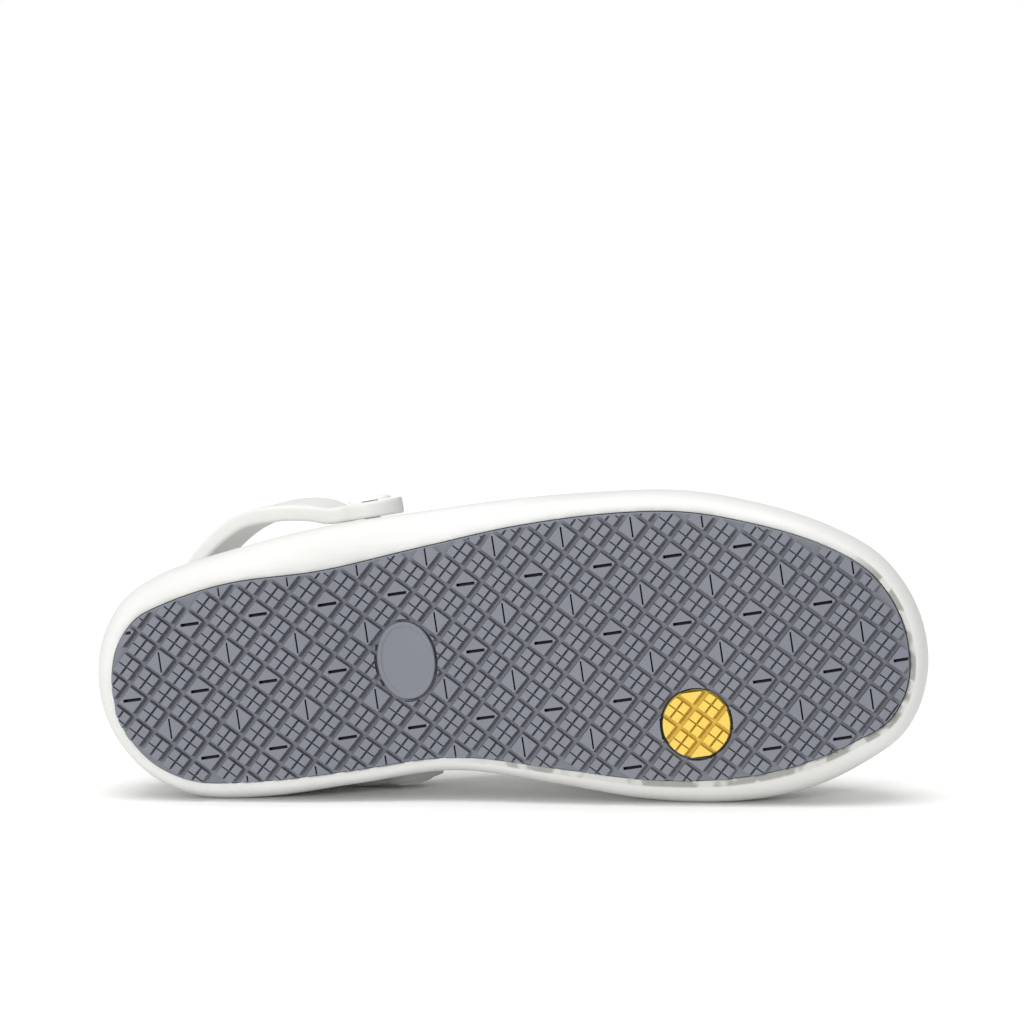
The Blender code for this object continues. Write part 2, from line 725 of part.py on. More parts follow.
def make_strap(collection, cutters, material):
    """The heel strap: a band with rounded edges, widened to a round pad at each end."""
    knots, leans = strap_knots()
    chord = run_length(knots)
    fine = np.linspace(0, chord[-1], FINE_STEPS + 1)
    line = np.column_stack([smooth(chord, knots[:, axis], fine) for axis in range(3)])
    run = run_length(line)

    turns = np.arange(1, STRAP_TIP_STEPS + 1) / STRAP_TIP_STEPS * math.pi / 2
    tip = STRAP_PAD_RADIUS * (1 - np.cos(turns))
    middle = np.linspace(tip[-1], run[-1] - tip[-1], STRAP_STEPS)[1:-1]
    places = np.concatenate([tip, middle, run[-1] - tip[::-1]])
    centre = np.column_stack([np.interp(places, run, line[:, axis]) for axis in range(3)])
    tangent = np.column_stack([
        np.interp(places, run, np.gradient(line[:, axis], run)) for axis in range(3)])
    tangent /= np.linalg.norm(tangent, axis=1)[:, None]
    tilt = np.interp(places, run, smooth(chord, leans, fine))
    half = strap_half_width(places, run[-1])

    out = np.cross((0, 0, 1), tangent)
    out /= np.linalg.norm(out, axis=1)[:, None]
    from_end = np.minimum(places, run[-1] - places)
    free = np.clip(from_end / (2 * STRAP_PAD_RADIUS) - 1, 0, 1)[:, None]
    wall = np.where(
        (places < run[-1] / 2)[:, None], rivet_frame(-1).col[2].xyz, rivet_frame(1).col[2].xyz)
    out = out * free + wall * (1 - free)
    out -= tangent * np.sum(out * tangent, axis=1)[:, None]
    out /= np.linalg.norm(out, axis=1)[:, None]
    up = np.cross(tangent, out)
    wide = up * np.cos(tilt)[:, None] - out * np.sin(tilt)[:, None]
    thick = out * np.cos(tilt)[:, None] + up * np.sin(tilt)[:, None]

    rings = []
    corners = (
        (-1, 1, 0, -1), (-1, 1, 1, 0), (1, 1, -1, 0), (1, 1, 0, -1),
        (1, -1, 0, 1), (1, -1, -1, 0), (-1, -1, 1, 0), (-1, -1, 0, 1),
    )
    for c, w, t, h in zip(centre, wide, thick, half):
        across_edge = min(STRAP_EDGE, h / 2)
        rings.append([
            c + w * (a * h + da * across_edge) + t * (b * STRAP_THICKNESS / 2 + db * STRAP_EDGE)
            for a, b, da, db in corners
        ])
    strap = new_object("heel_strap", loft("heel_strap", rings), collection, material)
    for side in (-1, 1):
        cut_rivet_hole(strap, side, cutters)
    return strap


def make_rivet(name, side, collection, material):
    """A turned rivet through the strap's pad and the wall, with a head at each end."""
    outer_low = pad_seat(side) + STRAP_THICKNESS + FIT_GAP
    outer_high = outer_low + RIVET_HEAD_THICKNESS
    inner_high = -WALL - RIVET_INNER_GAP
    inner_low = inner_high - RIVET_HEAD_THICKNESS
    bevel = RIVET_HEAD_THICKNESS / 2
    profile = (
        (0, outer_high),
        (RIVET_HEAD_RADIUS - 4 * bevel, outer_high - bevel / 3),
        (RIVET_HEAD_RADIUS, outer_low + bevel),
        (RIVET_HEAD_RADIUS, outer_low),
        (RIVET_RADIUS, outer_low),
        (RIVET_RADIUS, inner_high),
        (RIVET_INNER_RADIUS, inner_high),
        (RIVET_INNER_RADIUS, inner_low + bevel),
        (RIVET_INNER_RADIUS - bevel, inner_low),
        (0, inner_low),
    )
    mesh = bpy.data.meshes.new(name)
    links = [(i, i + 1) for i in range(len(profile) - 1)]
    mesh.from_pydata([(radius, 0, z) for radius, z in profile], links, [])
    rivet = new_object(name, mesh, collection, material)
    screw = rivet.modifiers.new("turn", "SCREW")
    screw.steps = HOLE_SEGMENTS
    screw.render_steps = HOLE_SEGMENTS
    screw.use_merge_vertices = True
    screw.merge_threshold = 0.00001
    rivet.matrix_world = rivet_frame(side)
    return rivet


# Laying the shoe down

def shoe_points(objects):
    """Every vertex of the pieces, in the shoe's own frame."""
    graph = bpy.context.evaluated_depsgraph_get()
    points = []
    for obj in objects:
        mesh = obj.evaluated_get(graph).to_mesh()
        local = np.array([tuple(v.co) for v in mesh.vertices])
        frame = np.array(obj.matrix_world)
        points.append(local @ frame[:3, :3].T + frame[:3, 3])
    return np.vstack(points)


def resting_frame(points):
    """World frame of the shoe on its inner side: two spots of the rim and one above it touch."""
    down = np.array([0.0, 1.0, 0.0])
    high = points[:, 2] > CREASE_HEIGHT + TOE_SPRING
    ahead = points[:, 0] > ARCH_MIDDLE * SHOE_LENGTH
    regions = (ahead & ~high, ~ahead & ~high, high)
    for _ in range(SETTLE_STEPS):
        touch = [points[region][np.argmax(points[region] @ down)] for region in regions]
        down = np.cross(touch[0] - touch[1], touch[2] - touch[1])
        down /= np.linalg.norm(down) * np.sign(down[1])
    forward = touch[0] - touch[1]
    forward /= np.linalg.norm(forward)
    turn = np.array([forward, np.cross(-down, forward), -down])
    placed = points @ turn.T
    lowest, highest = placed.min(axis=0), placed.max(axis=0)
    middle = (lowest + highest) / 2
    frame = np.eye(4)
    frame[:3, :3] = turn
    frame[:3, 3] = (-middle[0], -middle[1], -lowest[2])
    return Matrix(frame.tolist())


def make_materials():
    """One plain material for each piece's finish."""
    made = {}
    for name, (colour, roughness) in MATERIALS.items():
        material = bpy.data.materials.new(name)
        material.use_nodes = True
        shader = material.node_tree.nodes["Principled BSDF"]
        shader.inputs["Base Color"].default_value = (*colour, 1)
        shader.inputs["Roughness"].default_value = roughness
        shader.inputs["Metallic"].default_value = 0.0
        made[name] = material
    return made


def new_collection(name):
    """A collection in the scene."""
    made = bpy.data.collections.new(name)
    bpy.context.scene.collection.children.link(made)
    return made


def main():
    """Build the clog and lay it on its inner side."""
    for obj in list(bpy.data.objects):
        bpy.data.objects.remove(obj, do_unlink=True)
    parts = new_collection("occupational_clog")
    cutters = new_collection("cutters")
    materials = make_materials()

    pieces = [
        make_upper(parts, cutters, materials["upper_foam"]),
        make_outsole(parts, cutters, materials["outsole_rubber"]),
        make_plug(parts, cutters, materials["plug_rubber"]),
        make_insole(parts, materials["insole_foam"]),
        make_strap(parts, cutters, materials["strap_foam"]),
        make_rivet("rivet_lateral", -1, parts, materials["rivet_plastic"]),
        make_rivet("rivet_medial", 1, parts, materials["rivet_plastic"]),
    ]
    bpy.context.view_layer.update()
    shoe_frame = bpy.data.objects.new("shoe_frame", None)
    parts.objects.link(shoe_frame)
    frame = resting_frame(shoe_points(pieces))
    for piece in pieces:
        piece.parent = shoe_frame
    shoe_frame.matrix_world = frame
    for cutter in list(cutters.objects):
        bpy.data.objects.remove(cutter, do_unlink=True)
    bpy.context.view_layer.update()


main()
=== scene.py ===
# A white moulded work clog with a heel strap and a grey slip resistant sole, a right shoe.
# Every piece is modelled upright in the shoe's own frame, x from heel to toe, y to the inner side,
# z up from the tread, and then laid on its inner side by shoeFrame.
import json
import math

import bmesh
import bpy
import numpy as np
from mathutils import Matrix, Vector


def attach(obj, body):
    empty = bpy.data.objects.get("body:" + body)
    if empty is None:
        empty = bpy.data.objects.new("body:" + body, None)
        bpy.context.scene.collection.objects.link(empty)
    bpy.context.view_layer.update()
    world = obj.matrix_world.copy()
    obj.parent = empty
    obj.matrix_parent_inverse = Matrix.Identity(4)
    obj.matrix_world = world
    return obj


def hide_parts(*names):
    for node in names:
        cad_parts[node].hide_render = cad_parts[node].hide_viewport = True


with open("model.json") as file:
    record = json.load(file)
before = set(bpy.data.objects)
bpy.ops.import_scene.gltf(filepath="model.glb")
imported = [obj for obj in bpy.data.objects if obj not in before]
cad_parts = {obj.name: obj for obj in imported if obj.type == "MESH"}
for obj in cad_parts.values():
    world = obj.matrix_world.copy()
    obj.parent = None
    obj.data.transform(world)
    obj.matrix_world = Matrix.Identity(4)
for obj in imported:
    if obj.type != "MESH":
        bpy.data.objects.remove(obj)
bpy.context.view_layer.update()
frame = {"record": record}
print("frame loaded")

# sizes in metres, all of them free to change together with the CAD part
shoe = {
    "length": 0.299,
    "ballWidth": 0.112,
    "instep": 0.108,
    "gap": 0.0003,
}
sole = {
    "toeSpring": 0.009,
    "toeSpringStart": 0.78,
    "heelBevel": 0.003,
    "heelBevelEnd": 0.07,
    "archLift": 0.006,
    "archMiddle": 0.415,
    "archReach": 0.20,
    "lugHeight": 0.003,
    "plate": 0.003,
}
detail = {
    "sideSteps": 110,           # places along each side of the shoe
    "fineSteps": 720,           # points that the outlines are worked out with
    "sharpAngle": 32,           # degrees, edges over it stay crisp
    "treadSharpAngle": 20,
}
heelRest = {"behindPlug": 0.175, "besidePlug": 0.0363}   # from the plug's middle

outline = {
    "along": (0.00, 0.02, 0.05, 0.10, 0.18, 0.30, 0.42, 0.54, 0.64, 0.74, 0.83, 0.91, 0.96, 0.99, 1.00),
    "outer": (0.030, 0.225, 0.318, 0.380, 0.419, 0.453, 0.456, 0.454, 0.438, 0.404, 0.326, 0.217,
              0.107, -0.036, -0.190),
    "inner": (-0.030, 0.165, 0.265, 0.348, 0.383, 0.384, 0.388, 0.474, 0.556, 0.602, 0.597, 0.535,
              0.460, 0.335, 0.190),
    "outerOverhang": (0.95, 1.02, 1.15, 1.32, 1.38, 1.88, 1.55, 1.15, 0.93, 0.87, 0.85, 0.80, 0.80,
                      0.82, 0.85),
    "innerOverhang": (0.85, 0.82, 0.80, 0.85, 0.90, 0.78, 0.75, 0.90, 1.08, 1.22, 1.32, 1.20, 1.00,
                      0.85, 0.85),
}
last = {
    "along": (0.00, 0.20, 0.30, 0.36, 0.43, 0.50, 0.57, 0.65, 0.75, 0.85, 0.93, 1.00),
    "crown": (0.53, 0.53, 0.60, 0.69, 0.83, 0.940, 0.930, 0.845, 0.720, 0.628, 0.572, 0.545),
    "fullness": (5.0, 5.5, 5.9, 5.4, 3.7, 2.7, 2.45, 2.3, 2.3, 2.4, 2.5, 2.6),
}
lastEnds = {"heelReach": 0.030, "heelPower": 5.0, "toeReach": 0.058, "toePower": 2.4}


# curves and tables

def smoothCurve(keys, values, at):
    # cubic through the values, slopes from the neighbours
    keys = np.asarray(keys, float)
    values = np.asarray(values, float)
    at = np.clip(np.asarray(at, float), keys[0], keys[-1])
    slopes = np.gradient(values, keys)
    i = np.clip(np.searchsorted(keys, at, side="right") - 1, 0, len(keys) - 2)
    span = keys[i + 1] - keys[i]
    t = (at - keys[i]) / span
    start = (1 + 2 * t) * (1 - t) ** 2 * values[i] + t * (1 - t) ** 2 * span * slopes[i]
    end = t * t * (3 - 2 * t) * values[i + 1] + t * t * (t - 1) * span * slopes[i + 1]
    return start + end


def turnOf(along):
    return np.arccos(1 - 2 * np.clip(along, 0, 1)) / math.pi


def alongOf(turn):
    return (1 - np.cos(math.pi * np.asarray(turn, float))) / 2


def outlineValue(name, turn):
    return smoothCurve(turnOf(np.array(outline["along"])), outline[name], turn)


def lastValue(name, x):
    return smoothCurve(last["along"], last[name], x / shoe["length"])


def insetSides(inset):
    # both sides of the outline, heel to toe, moved inwards by inset(side, turn)
    turn = np.linspace(0, 1, detail["fineSteps"] + 1)
    x = shoe["length"] * alongOf(turn)
    sides = {}
    for side, sign in (("outer", -1), ("inner", 1)):
        y = sign * shoe["ballWidth"] * outlineValue(side, turn)
        dx = np.gradient(x)
        dy = np.gradient(y)
        dx[0] = 0
        dx[-1] = 0
        size = np.hypot(dx, dy)
        move = inset(side, turn)
        sides[side] = (x + sign * dy / size * move, y - sign * dx / size * move)
    return sides


def even(distance):
    return lambda side, turn: distance + 0 * turn


def treadInset(extra=0.0):
    return lambda side, turn: upperForm["rimOverhang"] * outlineValue(side + "Overhang", turn) + extra


def stations(sides):
    x = sides["outer"][0]
    count = detail["sideSteps"]
    return x[0] + (x[-1] - x[0]) * alongOf(np.arange(count + 1) / count)


def planRing(sides):
    # closed ring of plan points: heel, outer side, toe, inner side
    places = stations(sides)
    (outerX, outerY), (innerX, innerY) = sides["outer"], sides["inner"]
    outer = np.column_stack([places[1:-1], np.interp(places[1:-1], outerX, outerY)])
    inner = np.column_stack([places[1:-1], np.interp(places[1:-1], innerX, innerY)])
    heel = [outerX[0], (outerY[0] + innerY[0]) / 2]
    toe = [outerX[-1], (outerY[-1] + innerY[-1]) / 2]
    return np.vstack([heel, outer, toe, inner[::-1]])


def withHeight(plan, z):
    return np.column_stack([plan, z * np.ones(len(plan))])


def runLength(points):
    return np.concatenate([[0], np.cumsum(np.linalg.norm(np.diff(points, axis=0), axis=1))])


def unit(rows):
    return rows / np.linalg.norm(rows, axis=-1, keepdims=True)


def fullTurn(count):
    return np.arange(count) / count * 2 * math.pi


# the sole's lift and the last

def endLift(x):
    along = x / shoe["length"]
    toe = np.clip((along - sole["toeSpringStart"]) / (1 - sole["toeSpringStart"]), 0, None) ** 2
    heel = np.clip(1 - along / sole["heelBevelEnd"], 0, None) ** 2
    return sole["toeSpring"] * toe + sole["heelBevel"] * heel


def archLift(x):
    reach = np.clip(np.abs(x / shoe["length"] - sole["archMiddle"]) / sole["archReach"], 0, 1)
    return sole["archLift"] * np.cos(reach * math.pi / 2) ** 2


def soleLift(x):
    return endLift(x) + archLift(x)


def endRounding(distance, reach, power):
    left = 1 - np.clip(distance / reach, 0, 1)
    return (1 - left ** power) ** (1 / power)


def creaseHeight(x):
    return upperForm["creaseHeight"] + endLift(x) + archLift(x) * upperForm["archAtCrease"]


def lastSides(x):
    outer = np.interp(x, *creaseSides["outer"])
    inner = np.interp(x, *creaseSides["inner"])
    return (outer + inner) / 2, (inner - outer) / 2


def lastHeight(x, y):
    middle, half = lastSides(x)
    power = lastValue("fullness", x)
    across = np.clip(np.abs(y - middle) / np.maximum(half, 1e-6), 0, 1)
    section = (1 - across ** power) ** (1 / power)
    heel = endRounding(x - creaseSides["outer"][0][0], lastEnds["heelReach"], lastEnds["heelPower"])
    toe = endRounding(creaseSides["outer"][0][-1] - x, lastEnds["toeReach"], lastEnds["toePower"])
    base = creaseHeight(x)
    return base + (shoe["instep"] * lastValue("crown", x) - base) * section * heel * toe


def wallPoint(side, x, z):
    middle, half = lastSides(x)
    power = lastValue("fullness", x)
    base = creaseHeight(x)
    share = np.clip((z - base) / (shoe["instep"] * lastValue("crown", x) - base), 0, 1)
    across = half * (1 - share ** power) ** (1 / power)
    return Vector((float(x), float(middle + side * across), float(z)))


def wallNormal(side, x, z, step=0.002):
    along = wallPoint(side, x + step, z) - wallPoint(side, x - step, z)
    up = wallPoint(side, x, z + step) - wallPoint(side, x, z - step)
    normal = along.cross(up).normalized()
    return normal if normal.y * side > 0 else -normal


# where the shoe lies, from the places the record states for a foot

def layFrame(mounts):
    heel = next(m for m in mounts if m["name"] == "heel_rest")
    fore = next(m for m in mounts if m["name"] == "forefoot_rest")
    heelPlace = Vector(heel["pos_m"])
    up = -Vector(heel["axis"]).normalized()
    ahead = Vector(fore["pos_m"]) - heelPlace
    ahead = (ahead - up * ahead.dot(up)).normalized()
    inner = up.cross(ahead)
    turn = Matrix((ahead, inner, up)).transposed().to_4x4()
    plugX, plugY = lugPlace(0, 0)
    heelInShoe = Vector((plugX - heelRest["behindPlug"], plugY - heelRest["besidePlug"], 0))
    return Matrix.Translation(heelPlace) @ turn @ Matrix.Translation(-heelInShoe)


# meshes

def meshObject(name, points, faces):
    mesh = bpy.data.meshes.new(name)
    mesh.from_pydata([tuple(p) for p in points], [], faces)
    mesh.update()
    obj = bpy.data.objects.new(name, mesh)
    bpy.context.scene.collection.objects.link(obj)
    return obj


def loftFaces(ringCount, count, capped):
    # quads between rings of equal count, the ends closed by rungs from side to side if capped
    faces = []
    for r in range(ringCount - 1):
        low = r * count
        high = low + count
        for i in range(count):
            j = (i + 1) % count
            faces.append((low + i, low + j, high + j, high + i))
    half = count // 2
    for base in (0, (ringCount - 1) * count) if capped else ():
        faces.append((base, base + 1, base + count - 1))
        for k in range(1, half - 1):
            faces.append((base + k, base + k + 1, base + count - k - 1, base + count - k))
        faces.append((base + half - 1, base + half, base + half + 1))
    return faces


def loftObject(name, rings):
    rings = np.array(rings)
    return meshObject(name, rings.reshape(-1, 3), loftFaces(len(rings), rings.shape[1], True))


def outwardNormals(obj):
    bm = bmesh.new()
    bm.from_mesh(obj.data)
    bmesh.ops.recalc_face_normals(bm, faces=bm.faces)
    bm.to_mesh(obj.data)
    bm.free()


def combine(target, operation, operand):
    modifier = target.modifiers.new(operation.lower(), "BOOLEAN")
    modifier.operation = operation
    modifier.solver = "EXACT"
    modifier.object = operand
    graph = bpy.context.evaluated_depsgraph_get()
    mesh = bpy.data.meshes.new_from_object(target.evaluated_get(graph))
    target.modifiers.clear()
    target.data = mesh


def forget(*objects):
    for obj in objects:
        bpy.data.objects.remove(obj, do_unlink=True)


def joined(name, objects):
    # one object out of several meshes
    points, faces = [], []
    for obj in objects:
        base = len(points)
        points += [tuple(v.co) for v in obj.data.vertices]
        faces += [tuple(base + i for i in p.vertices) for p in obj.data.polygons]
    forget(*objects)
    return meshObject(name, points, faces)


def finishPiece(obj, material, replaced, sharp=None, place=None):
    outwardNormals(obj)
    obj.data.transform(place or shoeFrame)
    obj.data.polygons.foreach_set("use_smooth", [True] * len(obj.data.polygons))
    obj.data.set_sharp_from_angle(angle=math.radians(sharp or detail["sharpAngle"]))
    obj.data.materials.clear()
    obj.data.materials.append(material)
    obj.data.update()
    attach(obj, "root")
    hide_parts(replaced)
    obj.data.calc_loop_triangles()
    print(obj.name, len(obj.data.loop_triangles), "triangles")
    return obj


# materials

def linear(red, green, blue):
    values = [v / 255 for v in (red, green, blue)]
    return tuple(v / 12.92 if v <= 0.04045 else ((v + 0.055) / 1.055) ** 2.4 for v in values)


class Nodes:
    # a small helper that adds nodes to one material and links them
    def __init__(self, name):
        self.material = bpy.data.materials.new(name)
        self.material.use_nodes = True
        self.tree = self.material.node_tree
        self.shader = self.tree.nodes["Principled BSDF"]

    def add(self, kind, **settings):
        node = self.tree.nodes.new("ShaderNode" + kind)
        for key, value in settings.items():
            setattr(node, key, value)
        return node

    def link(self, source, target):
        self.tree.links.new(source, target)

    def noise(self, scale, stretch=(1, 1, 1), amount=4, rough=0.55):
        place = self.add("TexCoord")
        mapping = self.add("Mapping")
        mapping.inputs["Scale"].default_value = stretch
        self.link(place.outputs["Object"], mapping.inputs["Vector"])
        node = self.add("TexNoise")
        node.inputs["Scale"].default_value = scale
        node.inputs["Detail"].default_value = amount
        node.inputs["Roughness"].default_value = rough
        self.link(mapping.outputs["Vector"], node.inputs["Vector"])
        return node.outputs["Fac"]

    def attribute(self, name):
        return self.add("Attribute", attribute_name=name).outputs["Fac"]

    def spread(self, value, low, high, outLow=0.0, outHigh=1.0):
        node = self.add("MapRange")
        for key, amount in (("From Min", low), ("From Max", high), ("To Min", outLow), ("To Max", outHigh)):
            node.inputs[key].default_value = amount
        self.link(value, node.inputs["Value"])
        return node.outputs["Result"]

    def math(self, operation, first, second):
        node = self.add("Math", operation=operation)
        for socket, value in zip(node.inputs, (first, second)):
            if isinstance(value, (int, float)):
                socket.default_value = value
            else:
                self.link(value, socket)
        return node.outputs["Value"]

    def mix(self, share, first, second):
        # sockets 0, 6 and 7 are the Mix node's factor and colours, and output 2 is its colour
        node = self.add("Mix", data_type="RGBA")
        for socket, value in ((node.inputs[0], share), (node.inputs[6], first), (node.inputs[7], second)):
            if isinstance(value, tuple):
                socket.default_value = (*value, 1)
            else:
                self.link(value, socket)
        return node.outputs[2]

    def bump(self, height, strength, distance, below=None):
        node = self.add("Bump")
        node.inputs["Strength"].default_value = strength
        node.inputs["Distance"].default_value = distance
        self.link(height, node.inputs["Height"])
        if below is not None:
            self.link(below, node.inputs["Normal"])
        return node.outputs["Normal"]

    def done(self, colour, roughness, normal, **values):
        for name, source in (("Base Color", colour), ("Roughness", roughness), ("Normal", normal)):
            self.link(source, self.shader.inputs[name])
        for key, value in values.items():
            self.shader.inputs[key.replace("_", " ")].default_value = value
        return self.material


# spreads are the noise values between which a shade or the roughness goes from one end to the other
foam = {
    "broadScale": 14,
    "broadSpread": (0.35, 0.65),
    "grainSpread": (0.3, 0.7),
    "streakStretch": (0.05, 1, 1),
    "streakSpread": (0.45, 0.75),
    # the edge lugs' painted shadows on the lip come where the noise passes this spread
    "lugShadowSpread": (0.46, 0.52),
    "smoother": 0.06,
    "rougher": 0.08,
    "grainDepth": 0.0004,
    "streakDepth": 0.0006,
    "glowDepth": 0.004,
}
rubber = {
    "broadScale": 22,
    "broadSpread": (0.35, 0.7),
    "speckleScale": 1900,
    "speckleSpread": (0.55, 0.75),
    # tread heights over which the slits' painted shade fades out
    "slitShadeSpread": (-0.8, 0.1),
    "grainSpread": (0.3, 0.7),
    "smoother": 0.05,
    "rougher": 0.10,
    "wornHeight": (0.85, 1.0),
    "wornSpread": (0.4, 0.7),
    "wornShine": 0.08,
    "grainDepth": 0.0003,
}


def foamMaterial(name, look):
    # closed cell foam: a soft skin with a fine grain, faint mould streaks and a few broad shades, and on the
    # upper's lip a painted shade with dashes of painted shadow from the edge lugs
    nodes = Nodes(name)
    broad = nodes.noise(foam["broadScale"], amount=3)
    grain = nodes.noise(look["grainScale"], amount=5, rough=0.65)
    streaks = nodes.noise(look["streakScale"], stretch=foam["streakStretch"], amount=3)
    colour = nodes.mix(nodes.spread(broad, *foam["broadSpread"]), look["colour"], look["shade"])
    tint = nodes.spread(streaks, *foam["streakSpread"], 0, look["streakTint"])
    colour = nodes.mix(tint, colour, look["shade"])
    # painted shade on the lip, with dashes of painted shadow from the edge lugs, where the lip attribute is
    # set
    if "lip" in look:
        lugShadows = nodes.spread(nodes.noise(look["lugShadowScale"], amount=1), *foam["lugShadowSpread"])
        paintedLipColour = nodes.mix(lugShadows, look["lip"], look["lipLugShadow"])
        colour = nodes.mix(nodes.attribute("lipPaintedShadow"), colour, paintedLipColour)
    smooth = look["roughness"] - foam["smoother"]
    roughness = nodes.spread(grain, *foam["grainSpread"], smooth, look["roughness"] + foam["rougher"])
    normal = nodes.bump(grain, look["grainBump"], foam["grainDepth"])
    normal = nodes.bump(streaks, look["streakBump"], foam["streakDepth"], normal)
    glow = {"Subsurface_Weight": look["glow"], "Subsurface_Scale": foam["glowDepth"]}
    return nodes.done(colour, roughness, normal, **glow)


def rubberMaterial(name, look):
    # moulded rubber: its own shade on the tops, painted light on the grooves' floors, dust and speckle,
    # smoother where it is worn, and painted shade, nearly black, on the slits' floors
    nodes = Nodes(name)
    broad = nodes.noise(rubber["broadScale"], amount=4)
    speckle = nodes.noise(rubber["speckleScale"], amount=2)
    grain = nodes.noise(look["grainScale"], amount=5, rough=0.7)
    high = nodes.attribute("treadHeight")
    # painted light: the grooves' floors get the lighter low colour, to make up for the shade down in them
    colour = nodes.mix(nodes.spread(high, 0.0, 1.0), look["low"], look["top"])
    dust = nodes.spread(broad, *rubber["broadSpread"], 0, look["broadTint"])
    colour = nodes.mix(dust, colour, look["dust"])
    specks = nodes.spread(speckle, *rubber["speckleSpread"], 0, look["speckle"])
    colour = nodes.mix(specks, colour, look["dust"])
    # painted shade: nearly black on the slits' floors, fading up their walls, and a touch darker on the
    # grooves' floors
    colour = nodes.mix(nodes.spread(high, *rubber["slitShadeSpread"]), look["deep"], colour)
    worn = nodes.spread(high, *rubber["wornHeight"])
    worn = nodes.math("MULTIPLY", worn, nodes.spread(broad, *rubber["wornSpread"]))
    smooth = look["roughness"] - rubber["smoother"]
    rough = nodes.spread(grain, *rubber["grainSpread"], smooth, look["roughness"] + rubber["rougher"])
    roughness = nodes.math("SUBTRACT", rough, nodes.math("MULTIPLY", worn, rubber["wornShine"]))
    normal = nodes.bump(grain, look["grainBump"], rubber["grainDepth"])
    return nodes.done(colour, roughness, normal, Specular_IOR_Level=look["specular"])


# the upper

upperForm = {
    "wall": 0.0038,
    "rimOverhang": 0.008,
    "lipRise": 0.001,
    "lipWidth": 0.0012,
    "lipRound": 0.0003,
    "lipRings": 6,
    "rimHeight": 0.016,
    "creaseHeight": 0.025,
    "rimStep": 0.0015,
    # rings from rim to crease: shares of the height, of the rim's step and of the arch's change
    "shoulder": ((0.35, 0.06, 0.0), (0.67, 0.4, 0.4), (0.85, 0.95, 0.7), (0.94, 1.35, 0.9)),
    "creaseDepth": 0.0005,
    "archAtRim": 0.5,
    "archAtCrease": 0.3,
    "archAtFootbed": 0.5,
    "footbedFillet": 0.0015,
    "collarBead": 0.0004,
    "wallRings": 56,
    "rimSteps": 16,
    "collarSteps": 14,
}
upperLook = {
    "colour": linear(217, 217, 215),
    "shade": linear(208, 208, 205),
    # painted shade: the lip's grey stands in for the shade that falls on it
    "lip": linear(198, 198, 193),      # the seat's lip, seen past the rubber on the inner side
    # painted shadows: these darker dashes stand in for the edge lugs' shadows on the lip
    "lipLugShadow": linear(150, 151, 146),
    "lipStart": (0.42, 0.08),          # share of the length, and the share it fades in over
    "lipInner": (-0.15, 0.10),         # the same across, in shares of the ball's width
    "lugShadowScale": 120,
    "roughness": 0.52,
    "grainScale": 700,
    "grainBump": 0.10,
    "streakScale": 420,
    "streakTint": 0.5,
    "streakBump": 0.12,
    "glow": 0.06,
}
collar = {
    "turn": (0.00, 0.10, 0.20, 0.30, 0.40, 0.50, 0.65, 0.80, 1.00),
    "along": (0.022, 0.041, 0.098, 0.200, 0.307, 0.393, 0.460, 0.490, 0.500),
    "outer": (0.030, 0.183, 0.317, 0.355, 0.342, 0.285, 0.175, 0.087, 0.013),
    "inner": (-0.030, 0.141, 0.290, 0.321, 0.306, 0.262, 0.150, 0.062, -0.013),
}
footbed = {
    "heelHeight": 0.022,
    "along": (0.0, 0.25, 0.45, 0.65, 0.80, 1.0),
    "height": (1.0, 1.0, 0.86, 0.68, 0.66, 0.66),
}

creaseSides = insetSides(even(upperForm["rimStep"]))
treadSides = insetSides(treadInset())


def footbedHeight(x):
    share = smoothCurve(footbed["along"], footbed["height"], x / shoe["length"])
    return footbed["heelHeight"] * share + endLift(x) + archLift(x) * upperForm["archAtFootbed"]


def footbedSides(extra):
    inset = upperForm["rimStep"] + upperForm["wall"] + upperForm["footbedFillet"] + extra
    return insetSides(even(inset))


def wallRings(crease):
    # rings of the outer wall from the crease up to the collar
    count = detail["sideSteps"]
    steps = np.arange(2 * count)
    turn = np.where(steps <= count, steps, 2 * count - steps) / count
    along = smoothCurve(collar["turn"], collar["along"], turn) * shoe["length"]
    outer = -smoothCurve(collar["turn"], collar["outer"], turn) * shoe["ballWidth"]
    inner = smoothCurve(collar["turn"], collar["inner"], turn) * shoe["ballWidth"]
    edge = np.column_stack([along, np.where(steps <= count, outer, inner)])
    power = lastValue("fullness", crease[:, 0])
    rings = []
    for ring in range(upperForm["wallRings"] + 1):
        share = (ring / upperForm["wallRings"]) ** power
        plan = crease + (edge - crease) * share[:, None]
        rings.append(withHeight(plan, lastHeight(plan[:, 0], plan[:, 1])))
    return rings


def wallDirections(wall):
    grid = np.array(wall)
    around = np.roll(grid, -1, axis=1) - np.roll(grid, 1, axis=1)
    up = np.gradient(grid, axis=0)
    normals = unit(np.cross(around, up))
    middle = grid.mean(axis=(0, 1))
    flip = np.sign(np.sum(normals[0] * (grid[0] - middle), axis=1).mean())
    return normals * flip, unit(up[-1])


def paintLipShadow(upper, seat, ringCount):
    # an attribute that is 1 on the lip from the arch to the toe, on the inner side and at the tip, where the
    # foam gets its painted shade and the edge lugs' painted shadows
    (start, startFade), (inner, innerFade) = upperLook["lipStart"], upperLook["lipInner"]
    past = np.clip((seat[:, 0] / shoe["length"] - start) / startFade, 0, 1)
    inward = np.clip((seat[:, 1] / shoe["ballWidth"] - inner) / innerFade, 0, 1)
    shade = np.zeros((ringCount, len(seat)), np.float32)
    shade[:upperForm["lipRings"]] = past * inward
    lip = upper.data.attributes.new("lipPaintedShadow", "FLOAT", "POINT")
    lip.data.foreach_set("value", shade.ravel())


